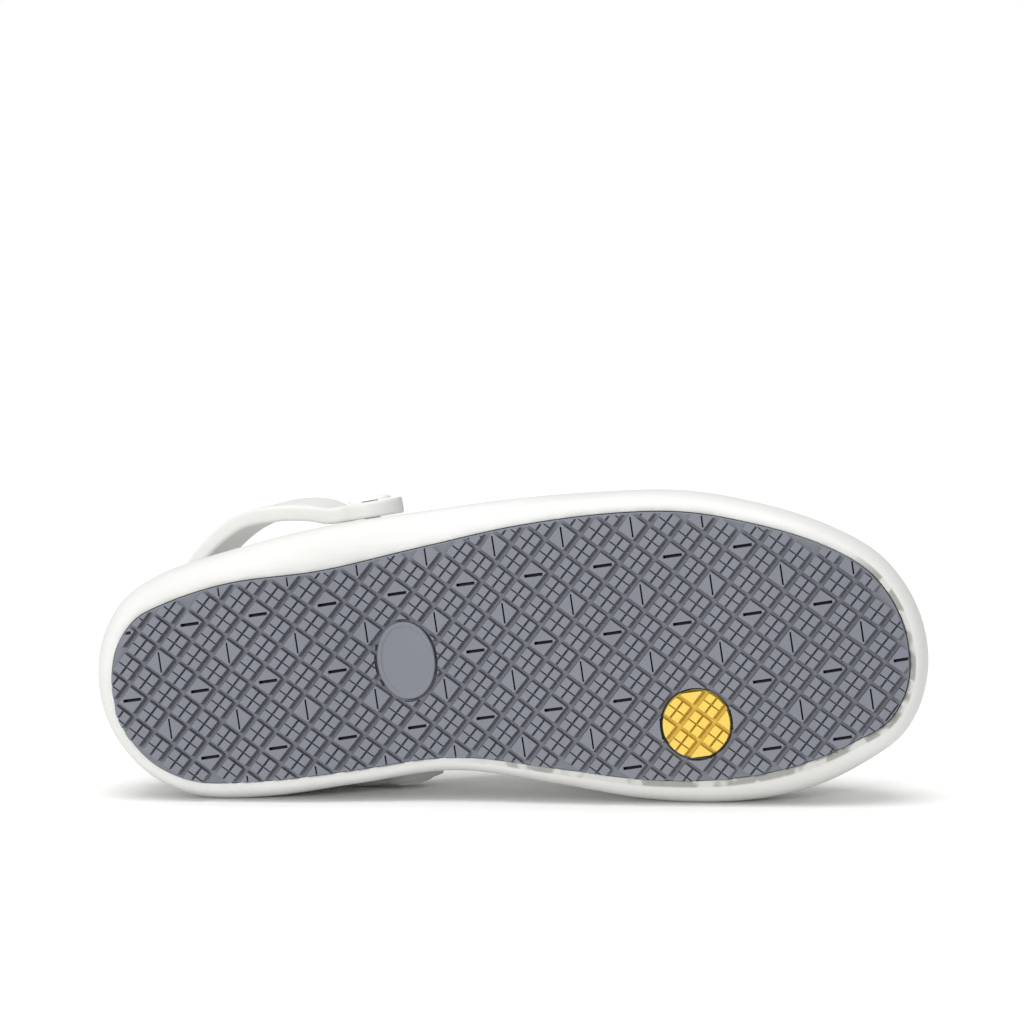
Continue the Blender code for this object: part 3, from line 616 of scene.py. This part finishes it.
def makeUpper(material):
    form = upperForm
    seat = planRing(insetSides(treadInset(-shoe["gap"])))
    lip = planRing(insetSides(treadInset(-shoe["gap"] - form["lipWidth"])))
    widest = planRing(insetSides(even(0)))
    seatZ = sole["lugHeight"] + sole["plate"] + shoe["gap"]
    lipZ = sole["lugHeight"] + form["lipRise"]
    lift = soleLift(seat[:, 0])
    rings = [withHeight(seat, seatZ + lift)]
    edge = unit(lip - seat)
    for turn in (0, 0.5, 1):  # the lip's own rounded corner
        angle = turn * math.pi / 2
        plan = seat + edge * form["lipRound"] * (1 - math.cos(angle))
        rings.append(withHeight(plan, lipZ + form["lipRound"] * (1 - math.sin(angle)) + lift))
    for step in range(form["rimSteps"] + 1):
        angle = step / form["rimSteps"] * math.pi / 2
        plan = lip + (widest - lip) * math.sin(angle)
        share = 1 - math.cos(angle)
        arch = 1 + (form["archAtRim"] - 1) * share
        rise = endLift(plan[:, 0]) + archLift(plan[:, 0]) * arch
        rings.append(withHeight(plan, lipZ + (form["rimHeight"] - lipZ) * share + rise))
    for share, inset, arch in form["shoulder"]:
        ring = planRing(insetSides(even(form["rimStep"] * inset)))
        across = form["archAtRim"] + (form["archAtCrease"] - form["archAtRim"]) * arch
        rise = endLift(ring[:, 0]) + archLift(ring[:, 0]) * across
        height = form["rimHeight"] + (form["creaseHeight"] - form["rimHeight"]) * share
        rings.append(withHeight(ring, height + rise))
    wall = wallRings(planRing(creaseSides))
    normals, uphill = wallDirections(wall)
    groove = wall[0] - normals[0] * form["creaseDepth"]
    rings.append(groove)
    rings += wall[1:]
    middle = wall[-1] - normals[-1] * form["wall"] / 2
    for step in range(1, form["collarSteps"]):
        angle = step / form["collarSteps"] * math.pi
        swell = form["wall"] / 2 + form["collarBead"] * math.sin(angle)
        turned = normals[-1] * math.cos(angle) + uphill * math.sin(angle)
        rings.append(middle + turned * swell)
    for index in range(form["wallRings"], -1, -2):
        rings.append(wall[index] - normals[index] * form["wall"])
    floorEdge = planRing(footbedSides(0))
    rings.append(withHeight(floorEdge, footbedHeight(floorEdge[:, 0])))
    upper = loftObject("upper_body", rings)
    paintLipShadow(upper, seat, len(rings))
    return finishPiece(upper, material, "upper")


# the tread

tread = {
    "pitchLong": 0.0250,
    "pitchWide": 0.0242,
    "halfRow": 0.00322,      # half a lug along its own row
    "halfAcross": 0.00358,   # and across the row
    "reach": 0.0049,         # from its middle to its corners
    "draft": 0.0003,
    "bevel": 0.00015,
    "spare": 0.0018,         # a lug's middle may lie so far past the edge
    "edgeRoom": 0.0009,      # nearer to the edge than this a lug is cut, not whole
    "padRoom": 0.0006,       # the same for the pad and the plug
    "edgeStep": 0.0003,
    "gapRow": 0.00075,       # between the four squares on most lugs, along the row
    "gapAcross": 0.00045,    # and across it
    "squareDepth": 0.0019,
    "squareSink": 0.0003,    # so far a square's foot goes into the block below it
    "longSlit": (-0.0030, 0.0037, 0.00057),     # start, end and half its width
    "crossSlit": (-0.0037, 0.0037, 0.00030),
    "slitDepth": 0.0029,
    "plateRound": 0.0003,
}
plugForm = {
    "place": (0.7176, 0.327),    # shares of the length and of the ball's width
    "radius": 0.0122,
    "floor": 0.0010,
    "ring": 0.0008,              # dark ring round it
    "edge": 0.0003,
    "topRings": (0.7, 0.4, 0.1),
    "segments": 96,
}
padForm = {
    "pitches": (-4, -1.5),       # from the plug's middle
    "halfLong": 0.0103,
    "halfWide": 0.0140,
    "moat": 0.0010,
    "segments": 96,
    "edge": 0.0005,
    "rim": 0.0008,               # flat border inside the rounded edge
    "slope": 0.0006,             # from the border down into the dish
    "dish": 0.00025,
    "dishRings": (0.8, 0.55, 0.3, 0.1),
}
outsoleLook = {
    "top": linear(113, 116, 125),
    # painted light: lighter than the tops, to make up for the shade on the grooves' floors
    "low": linear(121, 124, 132),
    # painted shade for the slits' floors and walls
    "deep": linear(22, 23, 28),
    "dust": linear(129, 131, 136),
    "broadTint": 0.16,
    "speckle": 0.22,
    "roughness": 0.62,
    "grainScale": 1300,
    "grainBump": 0.22,
    "specular": 0.35,
}
plugLook = {
    "top": linear(219, 187, 76),
    # painted light: a little lighter than the tops, to make up for the shade on the grooves' floors
    "low": linear(222, 188, 72),
    # painted shade for the slits' floors and walls
    "deep": linear(120, 90, 20),
    "dust": linear(228, 200, 110),
    "broadTint": 0.12,
    "speckle": 0.12,
    "roughness": 0.55,
    "grainScale": 1300,
    "grainBump": 0.18,
    "specular": 0.35,
}


def lugPlace(along, across):
    return (
        plugForm["place"][0] * shoe["length"] + along * tread["pitchLong"],
        plugForm["place"][1] * shoe["ballWidth"] + across * tread["pitchWide"],
    )


def lugCorners(x, y, halfRow, halfAcross):
    # left, low, right and high corner of a block whose sides follow the two diagonals of the pattern
    row = Vector((tread["pitchLong"], tread["pitchWide"])).normalized() * halfRow
    across = Vector((tread["pitchLong"], -tread["pitchWide"])).normalized() * halfAcross
    middle = Vector((x, y))
    return [middle - row - across, middle - row + across, middle + row + across, middle + row - across]


def grown(polygon, distance):
    # a convex polygon, counter-clockwise, with every edge moved outwards
    moved = []
    for index, point in enumerate(polygon):
        before = (point - polygon[index - 1]).normalized()
        after = (polygon[(index + 1) % len(polygon)] - point).normalized()
        first = Vector((before.y, -before.x))
        second = Vector((after.y, -after.x))
        moved.append(point + (first + second) * distance / (1 + first.dot(second)))
    return moved


def addBlock(points, faces, polygon, top, foot, hole=None):
    # a drafted block with a bevelled top, and through its top perhaps a slit with straight sides
    count = len(polygon)
    bevel = tread["bevel"]
    slope = tread["draft"] / sole["lugHeight"]
    rings = (
        (grown(polygon, slope * (foot - top)), foot),
        (grown(polygon, slope * bevel), top + bevel),
        (grown(polygon, -bevel), top),
    )
    base = len(points)
    for ring, z in rings:
        points += [(p.x, p.y, z) for p in ring]
    for r in range(2):
        for i in range(count):
            j = (i + 1) % count
            low = base + r * count
            faces.append((low + i, low + j, low + count + j, low + count + i))
    faces.append(tuple(base + i for i in range(count)))
    cap = [base + 2 * count + i for i in range(count)]
    if hole is None:
        faces.append(tuple(cap))
        return
    inner = len(points)
    points += [(p.x, p.y, top) for p in hole] + [(p.x, p.y, top + tread["slitDepth"]) for p in hole]
    for i in range(4):
        j = (i + 1) % 4
        faces.append((inner + i, inner + j, inner + 4 + j, inner + 4 + i))
    faces.append(tuple(inner + 4 + i for i in range(4)))
    # the top round the slit: a triangle at each end of it and a wide piece along each side
    left, right = cap[0], cap[2]
    if hole[1].x - hole[0].x > hole[2].y - hole[1].y:
        faces.append((left, inner, inner + 3))
        faces.append((right, inner + 2, inner + 1))
        faces.append((left, cap[1], right, inner + 1, inner))
        faces.append((right, cap[3], left, inner + 3, inner + 2))
    else:
        low, high = cap[1], cap[3]
        faces.append((low, inner + 1, inner))
        faces.append((high, inner + 3, inner + 2))
        faces.append((low, right, high, inner + 2, inner + 1))
        faces.append((high, left, low, inner, inner + 3))


def slitCorners(x, y, slit, isCross):
    start, end, half = slit
    corners = ((start, -half), (end, -half), (end, half), (start, half))
    if isCross:
        corners = ((-half, start), (half, start), (half, end), (-half, end))
    return [Vector((x + a, y + b)) for a, b in corners]


def lugBlocks(wanted):
    # blocks in groups of which no two touch, for every lug that wanted(x, y) takes
    groups = {"body": ([], []), "square": ([], [])}
    longCount = math.ceil(4 * shoe["length"] / tread["pitchLong"])
    wideCount = math.ceil(4 * shoe["ballWidth"] / tread["pitchWide"])
    foot = sole["lugHeight"] + sole["plate"] / 3
    for i in range(-longCount, longCount + 1):
        for j in range(-wideCount, wideCount + 1):
            x, y = lugPlace(i / 4, j / 4)
            if (i + j) % 2 or not wanted(x, y):
                continue
            row, across = tread["halfRow"], tread["halfAcross"]
            gapRow, gapAcross = tread["gapRow"] / 4, tread["gapAcross"] / 4
            body = lugCorners(x, y, row, across)
            if i % 4 == 0 and j % 4 == 2:
                addBlock(*groups["body"], body, 0, foot, slitCorners(x, y, tread["longSlit"], False))
            elif i % 4 == 2 and j % 4 == 0:
                addBlock(*groups["body"], body, 0, foot, slitCorners(x, y, tread["crossSlit"], True))
            else:
                addBlock(*groups["body"], body, tread["squareDepth"], foot)
                for a, b in ((-1, -1), (-1, 1), (1, -1), (1, 1)):
                    # the middle of a quarter is the corner of a block half as large
                    quarter = lugCorners(x, y, a * (row / 2 + gapRow), b * (across / 2 + gapAcross))[2]
                    square = lugCorners(*quarter, row / 2 - gapRow, across / 2 - gapAcross)
                    addBlock(*groups["square"], square, 0, tread["squareDepth"] + tread["squareSink"])
    return groups


def insideTread(x, y, spare):
    low, high = treadSides["outer"][0][0], treadSides["outer"][0][-1]
    outer = np.interp(x, *treadSides["outer"])
    inner = np.interp(x, *treadSides["inner"])
    return low - spare < x < high + spare and outer - spare < y < inner + spare


def wellInside(x, y):
    half = tread["reach"] + tread["edgeRoom"]
    corners = ((x - half, y), (x + half, y), (x, y - half), (x, y + half))
    return all(insideTread(a, b, 0) for a, b in corners)


def ovalPoints(grow, z, share=1.0):
    x, y = lugPlace(*padForm["pitches"])
    turns = fullTurn(padForm["segments"])
    return np.column_stack([
        x + (padForm["halfLong"] + grow) * share * np.cos(turns),
        y + (padForm["halfWide"] + grow) * share * np.sin(turns),
        z + 0 * turns,
    ])


def roundPoints(radius, z):
    x, y = lugPlace(0, 0)
    turns = fullTurn(plugForm["segments"])
    return np.column_stack([x + radius * np.cos(turns), y + radius * np.sin(turns), z + 0 * turns])


def nearPad(x, y, reach):
    centre = lugPlace(*padForm["pitches"])
    long = (x - centre[0]) / (padForm["halfLong"] + padForm["moat"] + reach)
    wide = (y - centre[1]) / (padForm["halfWide"] + padForm["moat"] + reach)
    return math.hypot(long, wide) < 1


def nearPlug(x, y, reach):
    centre = lugPlace(0, 0)
    return math.hypot(x - centre[0], y - centre[1]) < plugForm["radius"] + reach


def bendToSole(obj):
    # keep the height over the flat tread as an attribute, -1 on a slit's floor for its painted shade, then
    # lift the piece
    mesh = obj.data
    count = len(mesh.vertices)
    co = np.empty(3 * count)
    mesh.vertices.foreach_get("co", co)
    co = co.reshape(-1, 3)
    high = np.clip(1 - co[:, 2] / sole["lugHeight"], 0, 1)
    nearFloor = 0.00001
    high[np.abs(co[:, 2] - tread["slitDepth"]) < nearFloor] = -1
    height = mesh.attributes.new("treadHeight", "FLOAT", "POINT")
    height.data.foreach_set("value", high.astype(np.float32))
    co[:, 2] += soleLift(co[:, 0])
    mesh.vertices.foreach_set("co", co.ravel())
    mesh.update()


def treadCutters():
    deep = 2 * (sole["lugHeight"] + sole["plate"])
    seatFloor = sole["lugHeight"] + sole["plate"] - plugForm["floor"]
    edge = planRing(insetSides(treadInset(tread["edgeStep"])))
    ringRadius = plugForm["radius"] + plugForm["ring"]
    discRadius = plugForm["radius"] - tread["edgeStep"]
    shapes = {
        "edge": (lambda z: withHeight(edge, z), deep),
        "moat": (lambda z: ovalPoints(padForm["moat"], z), deep),
        "ring": (lambda z: roundPoints(ringRadius, z), deep),
        "seat": (lambda z: roundPoints(ringRadius, z), seatFloor),
        "disc": (lambda z: roundPoints(discRadius, z), deep),
    }
    cutters = {}
    for name, (ringAt, end) in shapes.items():
        cutters[name] = loftObject(name + "Cutter", [ringAt(-deep), ringAt(end)])
        outwardNormals(cutters[name])
    return cutters


def cutLugs(wanted, cutters, cuts):
    pieces = []
    for points, faces in lugBlocks(wanted).values():
        lugs = meshObject("lugs", points, faces)
        outwardNormals(lugs)
        for operation, cutter in cuts:
            combine(lugs, operation, cutters[cutter])
        pieces.append(lugs)
    return pieces


def padRings(foot):
    # a rounded edge, a flat border and a shallow dish
    edge, dish = padForm["edge"], padForm["dish"]
    border = -edge - padForm["rim"]
    inside = border - padForm["slope"]
    outer = ((0, foot), (0, edge), (-edge * 0.3, edge * 0.3), (-edge, 0), (border, 0), (inside, dish))
    rings = [ovalPoints(grow, z) for grow, z in outer]
    return rings + [ovalPoints(inside, dish * share, share) for share in padForm["dishRings"]]


def makeOutsole(material, cutters):
    plateZ = sole["lugHeight"] + sole["plate"]
    rim = planRing(treadSides)
    rounded = planRing(insetSides(treadInset(tread["plateRound"])))
    plate = loftObject("plate", [
        withHeight(rim, plateZ),
        withHeight(rim, sole["lugHeight"] + tread["plateRound"]),
        withHeight(rounded, sole["lugHeight"]),
    ])
    outwardNormals(plate)
    combine(plate, "DIFFERENCE", cutters["seat"])
    parts = [plate]
    reach = tread["reach"] + tread["padRoom"]

    def whole(x, y):
        return wellInside(x, y) and not nearPad(x, y, reach) and not nearPlug(x, y, reach)

    def partly(x, y):
        return insideTread(x, y, tread["spare"]) and not whole(x, y)

    for points, faces in lugBlocks(whole).values():
        parts.append(meshObject("lugs", points, faces))
    parts += cutLugs(partly, cutters, (("INTERSECT", "edge"), ("DIFFERENCE", "moat"), ("DIFFERENCE", "ring")))
    foot = sole["lugHeight"] + sole["plate"] / 2
    parts.append(loftObject("pad", padRings(foot)))
    outsole = joined("outsole_tread", parts)
    bendToSole(outsole)
    return finishPiece(outsole, material, "outsole", detail["treadSharpAngle"])


def makePlug(material, cutters):
    top = sole["lugHeight"] + sole["plate"] - plugForm["floor"] - shoe["gap"]
    radius, edge = plugForm["radius"], plugForm["edge"]
    rings = [roundPoints(radius, top), roundPoints(radius, sole["lugHeight"] + edge)]
    rings.append(roundPoints(radius - edge, sole["lugHeight"]))
    rings += [roundPoints(radius * share, sole["lugHeight"]) for share in plugForm["topRings"]]
    parts = [loftObject("disc", rings)]
    parts += cutLugs(lambda x, y: nearPlug(x, y, tread["spare"]), cutters, (("INTERSECT", "disc"),))
    plug = joined("tread_plug_insert", parts)
    bendToSole(plug)
    return finishPiece(plug, material, "tread_plug", detail["treadSharpAngle"])


# the insole

insoleForm = {
    "thickness": 0.004,
    "bevel": 0.001,
    "gap": 0.0006,
    "bevelSteps": 5,
}
insoleLook = {
    "colour": linear(238, 238, 235),
    "shade": linear(228, 228, 224),
    "roughness": 0.78,
    "grainScale": 420,
    "grainBump": 0.45,
    "streakScale": 300,
    "streakTint": 0.2,
    "streakBump": 0.05,
    "glow": 0.04,
}


def makeInsole(material):
    form = insoleForm
    plan = planRing(footbedSides(form["gap"]))
    base = footbedHeight(plan[:, 0]) + shoe["gap"]
    rings = [withHeight(plan, base)]
    for step in range(form["bevelSteps"] + 1):
        angle = step / form["bevelSteps"] * math.pi / 2
        inset = form["bevel"] * (1 - math.cos(angle))
        ring = planRing(footbedSides(form["gap"] + inset))
        low = footbedHeight(ring[:, 0]) + shoe["gap"] + form["thickness"] - form["bevel"]
        rings.append(withHeight(ring, low + form["bevel"] * math.sin(angle)))
    return finishPiece(loftObject("insole_bed", rings), material, "insole")


# the rivets and the heel strap

strapForm = {
    "width": 0.019,
    "thickness": 0.006,
    "edge": 0.0015,
    "padRadius": 0.012,
    "padMargin": 0.003,
    "padKnots": (-1, 0, 0.6, 1.05),
    "backHeight": 0.084,
    "lean": math.radians(20),
    "slope": math.radians(11),
    "steps": 150,
    "tipSteps": 22,
    "cornerSteps": 5,
}
strap = {
    "along": (0.282, 0.237, 0.190, 0.152, 0.114, 0.078, 0.065, 0.083, 0.118, 0.159, 0.214, 0.276),
    "across": (-0.462, -0.476, -0.457, -0.402, -0.312, -0.179, -0.021, 0.132, 0.243, 0.304, 0.343,
               0.369),
    "height": (0.15, 0.30, 0.50, 0.65, 0.80, 0.94, 1.00, 0.94, 0.80, 0.64, 0.42, 0.18),
    "lean": (-0.27, -0.12, 0.55, 0.85, 1.00, 1.00, 1.00, 1.00, 0.95, 0.60, 0.20, 0.00),
}
rivetForm = {
    "along": 0.347,
    "height": 0.050,
    "radius": 0.003,
    "headRadius": 0.008,
    "headThickness": 0.0016,
    # dimple in the head: shares of its radius, and depths
    "dimple": ((0.0, 0.0004), (0.28, 0.0004), (0.36, 0.0001), (0.42, 0.0)),
    "shoulder": 0.60,            # from here the head is rounded down to its edge
    "shoulderDrop": 0.8,
    "shoulderSteps": 8,
    "innerRadius": 0.006,
    "innerGap": 0.0006,
    "innerEdge": ((0.0, 0.0006), (0.0003, 0.0002), (0.0008, 0.0)),
    "segments": 72,
}
strapLook = {
    "colour": linear(219, 219, 217),
    "shade": linear(209, 209, 206),
    "roughness": 0.55,
    "grainScale": 800,
    "grainBump": 0.10,
    "streakScale": 520,
    "streakTint": 0.6,
    "streakBump": 0.2,
    "glow": 0.06,
}
rivetLook = {
    "colour": linear(236, 236, 234),
    "shade": linear(228, 228, 226),
    "roughness": 0.36,
    "grainScale": 1500,
    "grainBump": 0.05,
    "streakScale": 300,
    "streakTint": 0.1,
    "streakBump": 0.02,
    "glow": 0.02,
}


def rivetFrame(side):
    # origin on the wall's outer face, z out of it, x to the toe
    x = rivetForm["along"] * shoe["length"]
    origin = wallPoint(side, x, rivetForm["height"])
    out = wallNormal(side, x, rivetForm["height"])
    toe = (Vector((1, 0, 0)) - out * out.x).normalized()
    return Matrix.Translation(origin) @ Matrix((toe, out.cross(toe), out)).transposed().to_4x4()


def padSeat(side):
    place = rivetFrame(side)
    reach = strapForm["padRadius"] + strapForm["padMargin"]
    around = [
        wallPoint(side, place.translation.x + along, place.translation.z + up)
        for along in (-reach, 0, reach) for up in (-reach, 0, reach)
    ]
    return shoe["gap"] + max((place.inverted() @ point).z for point in around)


def padKnots(side):
    place = rivetFrame(side)
    toe, up, out = (np.array(place.col[i].xyz) for i in range(3))
    up *= np.sign(up[2])
    centre = np.array(place.translation) + out * (padSeat(side) + strapForm["thickness"] / 2)
    back = up * math.sin(strapForm["slope"]) - toe * math.cos(strapForm["slope"])
    return np.array([centre + back * strapForm["padRadius"] * share for share in strapForm["padKnots"]])


def strapKnots():
    plan = np.column_stack([
        np.array(strap["along"]) * shoe["length"], np.array(strap["across"]) * shoe["ballWidth"]])
    forward = np.gradient(plan, axis=0)
    outward = unit(np.column_stack([-forward[:, 1], forward[:, 0]]))
    rise = np.array(strap["height"]) * (strapForm["backHeight"] - rivetForm["height"])
    body = withHeight(plan + outward * strapForm["thickness"] / 2, rivetForm["height"] + rise)
    flat = np.zeros(len(strapForm["padKnots"]))
    leans = np.concatenate([flat, np.array(strap["lean"]) * strapForm["lean"], flat])
    return np.vstack([padKnots(-1), body, padKnots(1)[::-1]]), leans


def sectionPoints(halfWide, halfThick, edge, steps):
    # a rounded rectangle's outline: across, out
    edge = min(edge, halfWide / 2)
    points = []
    for quarter, (a, b) in enumerate(((1, 1), (-1, 1), (-1, -1), (1, -1))):
        for step in range(steps + 1):
            angle = (quarter + step / steps) * math.pi / 2
            points.append((a * (halfWide - edge) + edge * math.cos(angle),
                           b * (halfThick - edge) + edge * math.sin(angle)))
    return points


def makeStrap(material):
    form = strapForm
    knots, leans = strapKnots()
    chord = runLength(knots)
    fine = np.linspace(0, chord[-1], detail["fineSteps"] + 1)
    line = np.column_stack([smoothCurve(chord, knots[:, axis], fine) for axis in range(3)])
    run = runLength(line)
    turns = np.arange(1, form["tipSteps"] + 1) / form["tipSteps"] * math.pi / 2
    tip = form["padRadius"] * (1 - np.cos(turns))
    middle = np.linspace(tip[-1], run[-1] - tip[-1], form["steps"])[1:-1]
    places = np.concatenate([tip, middle, run[-1] - tip[::-1]])
    centre = np.column_stack([np.interp(places, run, line[:, axis]) for axis in range(3)])
    slopes = [np.interp(places, run, np.gradient(line[:, axis], run)) for axis in range(3)]
    tangent = unit(np.column_stack(slopes))
    tilt = np.interp(places, run, smoothCurve(chord, leans, fine))
    fromPad = np.minimum(places, run[-1] - places) - form["padRadius"]
    pad = np.sqrt(np.clip(form["padRadius"] ** 2 - fromPad ** 2, 0, None))
    half = np.where(fromPad > 0, np.maximum(pad, form["width"] / 2), pad)

    # the band's outward side: level round the heel, and square to the wall at the pads
    out = unit(np.cross((0, 0, 1), tangent))
    fromEnd = np.minimum(places, run[-1] - places)
    free = np.clip(fromEnd / (2 * form["padRadius"]) - 1, 0, 1)[:, None]
    wall = np.where((places < run[-1] / 2)[:, None], rivetFrame(-1).col[2].xyz, rivetFrame(1).col[2].xyz)
    out = out * free + wall * (1 - free)
    out = unit(out - tangent * np.sum(out * tangent, axis=1)[:, None])
    up = np.cross(tangent, out)
    wide = up * np.cos(tilt)[:, None] - out * np.sin(tilt)[:, None]
    thick = out * np.cos(tilt)[:, None] + up * np.sin(tilt)[:, None]
    rings = []
    for c, w, t, h in zip(centre, wide, thick, half):
        section = sectionPoints(h, form["thickness"] / 2, form["edge"], form["cornerSteps"])
        rings.append([c + w * a + t * b for a, b in section])
    count = len(rings[0])
    faces = loftFaces(len(rings), count, False)
    faces.append(tuple(range(count)))
    faces.append(tuple((len(rings) - 1) * count + i for i in range(count)))
    band = meshObject("heel_strap_band", np.array(rings).reshape(-1, 3), faces)
    return finishPiece(band, material, "heel_strap")


def rivetProfile(side):
    # radius and height from the middle of the outer head down to the middle of the inner one
    form = rivetForm
    low = padSeat(side) + strapForm["thickness"] + shoe["gap"]
    high = low + form["headThickness"]
    innerHigh = -upperForm["wall"] - form["innerGap"]
    innerLow = innerHigh - form["headThickness"]
    head = form["headRadius"]
    shoulder = head * form["shoulder"]
    drop = form["headThickness"] * form["shoulderDrop"]
    profile = [(head * share, high - depth) for share, depth in form["dimple"]]
    for step in range(form["shoulderSteps"] + 1):
        angle = step / form["shoulderSteps"] * math.pi / 2
        across = shoulder + (head - shoulder) * math.sin(angle)
        profile.append((across, high - drop * (1 - math.cos(angle))))
    profile += [(head, low), (form["radius"], low), (form["radius"], innerHigh)]
    profile.append((form["innerRadius"], innerHigh))
    profile += [(form["innerRadius"] - inset, innerLow + rise) for inset, rise in form["innerEdge"]]
    return profile + [(0.0, innerLow)]


def makeRivet(name, side, replaced, material):
    profile = rivetProfile(side)
    count = rivetForm["segments"]
    points = [(0, 0, profile[0][1])]
    for radius, z in profile[1:-1]:
        points += [(radius * math.cos(t), radius * math.sin(t), z) for t in fullTurn(count)]
    points.append((0, 0, profile[-1][1]))
    rows = len(profile) - 2
    faces = [(0, 1 + i, 1 + (i + 1) % count) for i in range(count)]
    faces += [tuple(1 + v for v in face) for face in loftFaces(rows, count, False)]
    end = len(points) - 1
    start = 1 + (rows - 1) * count
    faces += [(end, start + (i + 1) % count, start + i) for i in range(count)]
    rivet = meshObject(name, points, faces)
    return finishPiece(rivet, material, replaced, place=shoeFrame @ rivetFrame(side))


# building

shoeFrame = layFrame(frame["record"]["mounts"])

materials = {
    "upper": foamMaterial("white foam", upperLook),
    "strap": foamMaterial("strap foam", strapLook),
    "insole": foamMaterial("insole foam", insoleLook),
    "rivet": foamMaterial("rivet plastic", rivetLook),
    "outsole": rubberMaterial("grey rubber", outsoleLook),
    "plug": rubberMaterial("yellow rubber", plugLook),
}
print("materials ready")

makeUpper(materials["upper"])
makeInsole(materials["insole"])
makeStrap(materials["strap"])
makeRivet("rivet_lateral_head", -1, "rivet_lateral", materials["rivet"])
makeRivet("rivet_medial_head", 1, "rivet_medial", materials["rivet"])
treadTools = treadCutters()
makeOutsole(materials["outsole"], treadTools)
makePlug(materials["plug"], treadTools)
forget(*treadTools.values())
print("pieces ready")

# floor, light and camera

studio = {
    "floorRadius": 6.0,
    "floorSides": 96,
    "floorColour": linear(250, 250, 249),
    "floorRoughness": 0.9,
    "floorShine": 0.1,
    "skyStrength": 0.54,
    "backdropStrength": 1.0,
    "keyStrength": 1.45,
    "keyFrom": (-0.33, -1.0, 0.20),
    "keySoftness": 7,
    "topStrength": 1.9,
    "topFrom": (-0.05, -0.15, 1.0),
    "topSoftness": 50,
    "lens": 136.2,            # millimetres, on a sensor 36 wide
    "sensor": 36,
    "cameraPlace": (0.14339, -1.41435, 0.18670),
    "cameraTurn": (86.582, 0.230, 5.860),
}


def makeFloor():
    count, radius = studio["floorSides"], studio["floorRadius"]
    points = [(radius * math.cos(t), radius * math.sin(t), 0) for t in fullTurn(count)]
    floor = meshObject("studio_floor", points, [tuple(range(count))])
    nodes = Nodes("floor paint")
    nodes.shader.inputs["Base Color"].default_value = (*studio["floorColour"], 1)
    nodes.shader.inputs["Roughness"].default_value = studio["floorRoughness"]
    nodes.shader.inputs["Specular IOR Level"].default_value = studio["floorShine"]
    floor.data.materials.append(nodes.material)


def makeSun(name, strength, comesFrom, softness):
    light = bpy.data.lights.new(name, "SUN")
    light.energy = strength
    light.angle = math.radians(softness)
    sun = bpy.data.objects.new(name, light)
    sun.rotation_euler = Vector(comesFrom).to_track_quat("Z", "Y").to_euler()
    bpy.context.scene.collection.objects.link(sun)


def makeLights():
    # the sky lights the shoe softly, and the camera sees a plain white backdrop in its place
    world = bpy.data.worlds.new("studio sky")
    world.use_nodes = True
    tree = world.node_tree
    sky = tree.nodes["Background"]
    sky.inputs["Color"].default_value = (1, 1, 1, 1)
    sky.inputs["Strength"].default_value = studio["skyStrength"]
    backdrop = tree.nodes.new("ShaderNodeBackground")
    backdrop.inputs["Color"].default_value = (1, 1, 1, 1)
    backdrop.inputs["Strength"].default_value = studio["backdropStrength"]
    seen = tree.nodes.new("ShaderNodeLightPath")
    mix = tree.nodes.new("ShaderNodeMixShader")
    tree.links.new(seen.outputs["Is Camera Ray"], mix.inputs["Fac"])
    tree.links.new(sky.outputs["Background"], mix.inputs[1])
    tree.links.new(backdrop.outputs["Background"], mix.inputs[2])
    tree.links.new(mix.outputs["Shader"], tree.nodes["World Output"].inputs["Surface"])
    bpy.context.scene.world = world
    makeSun("key light", studio["keyStrength"], studio["keyFrom"], studio["keySoftness"])
    makeSun("top light", studio["topStrength"], studio["topFrom"], studio["topSoftness"])


def makeCamera():
    lens = bpy.data.cameras.new("camera")
    lens.lens = studio["lens"]
    lens.sensor_width = studio["sensor"]
    camera = bpy.data.objects.new("camera", lens)
    camera.location = studio["cameraPlace"]
    camera.rotation_euler = [math.radians(a) for a in studio["cameraTurn"]]
    bpy.context.scene.collection.objects.link(camera)
    bpy.context.scene.camera = camera


makeFloor()
makeLights()
makeCamera()
bpy.context.scene.view_settings.view_transform = "Standard"
print("stage ready")
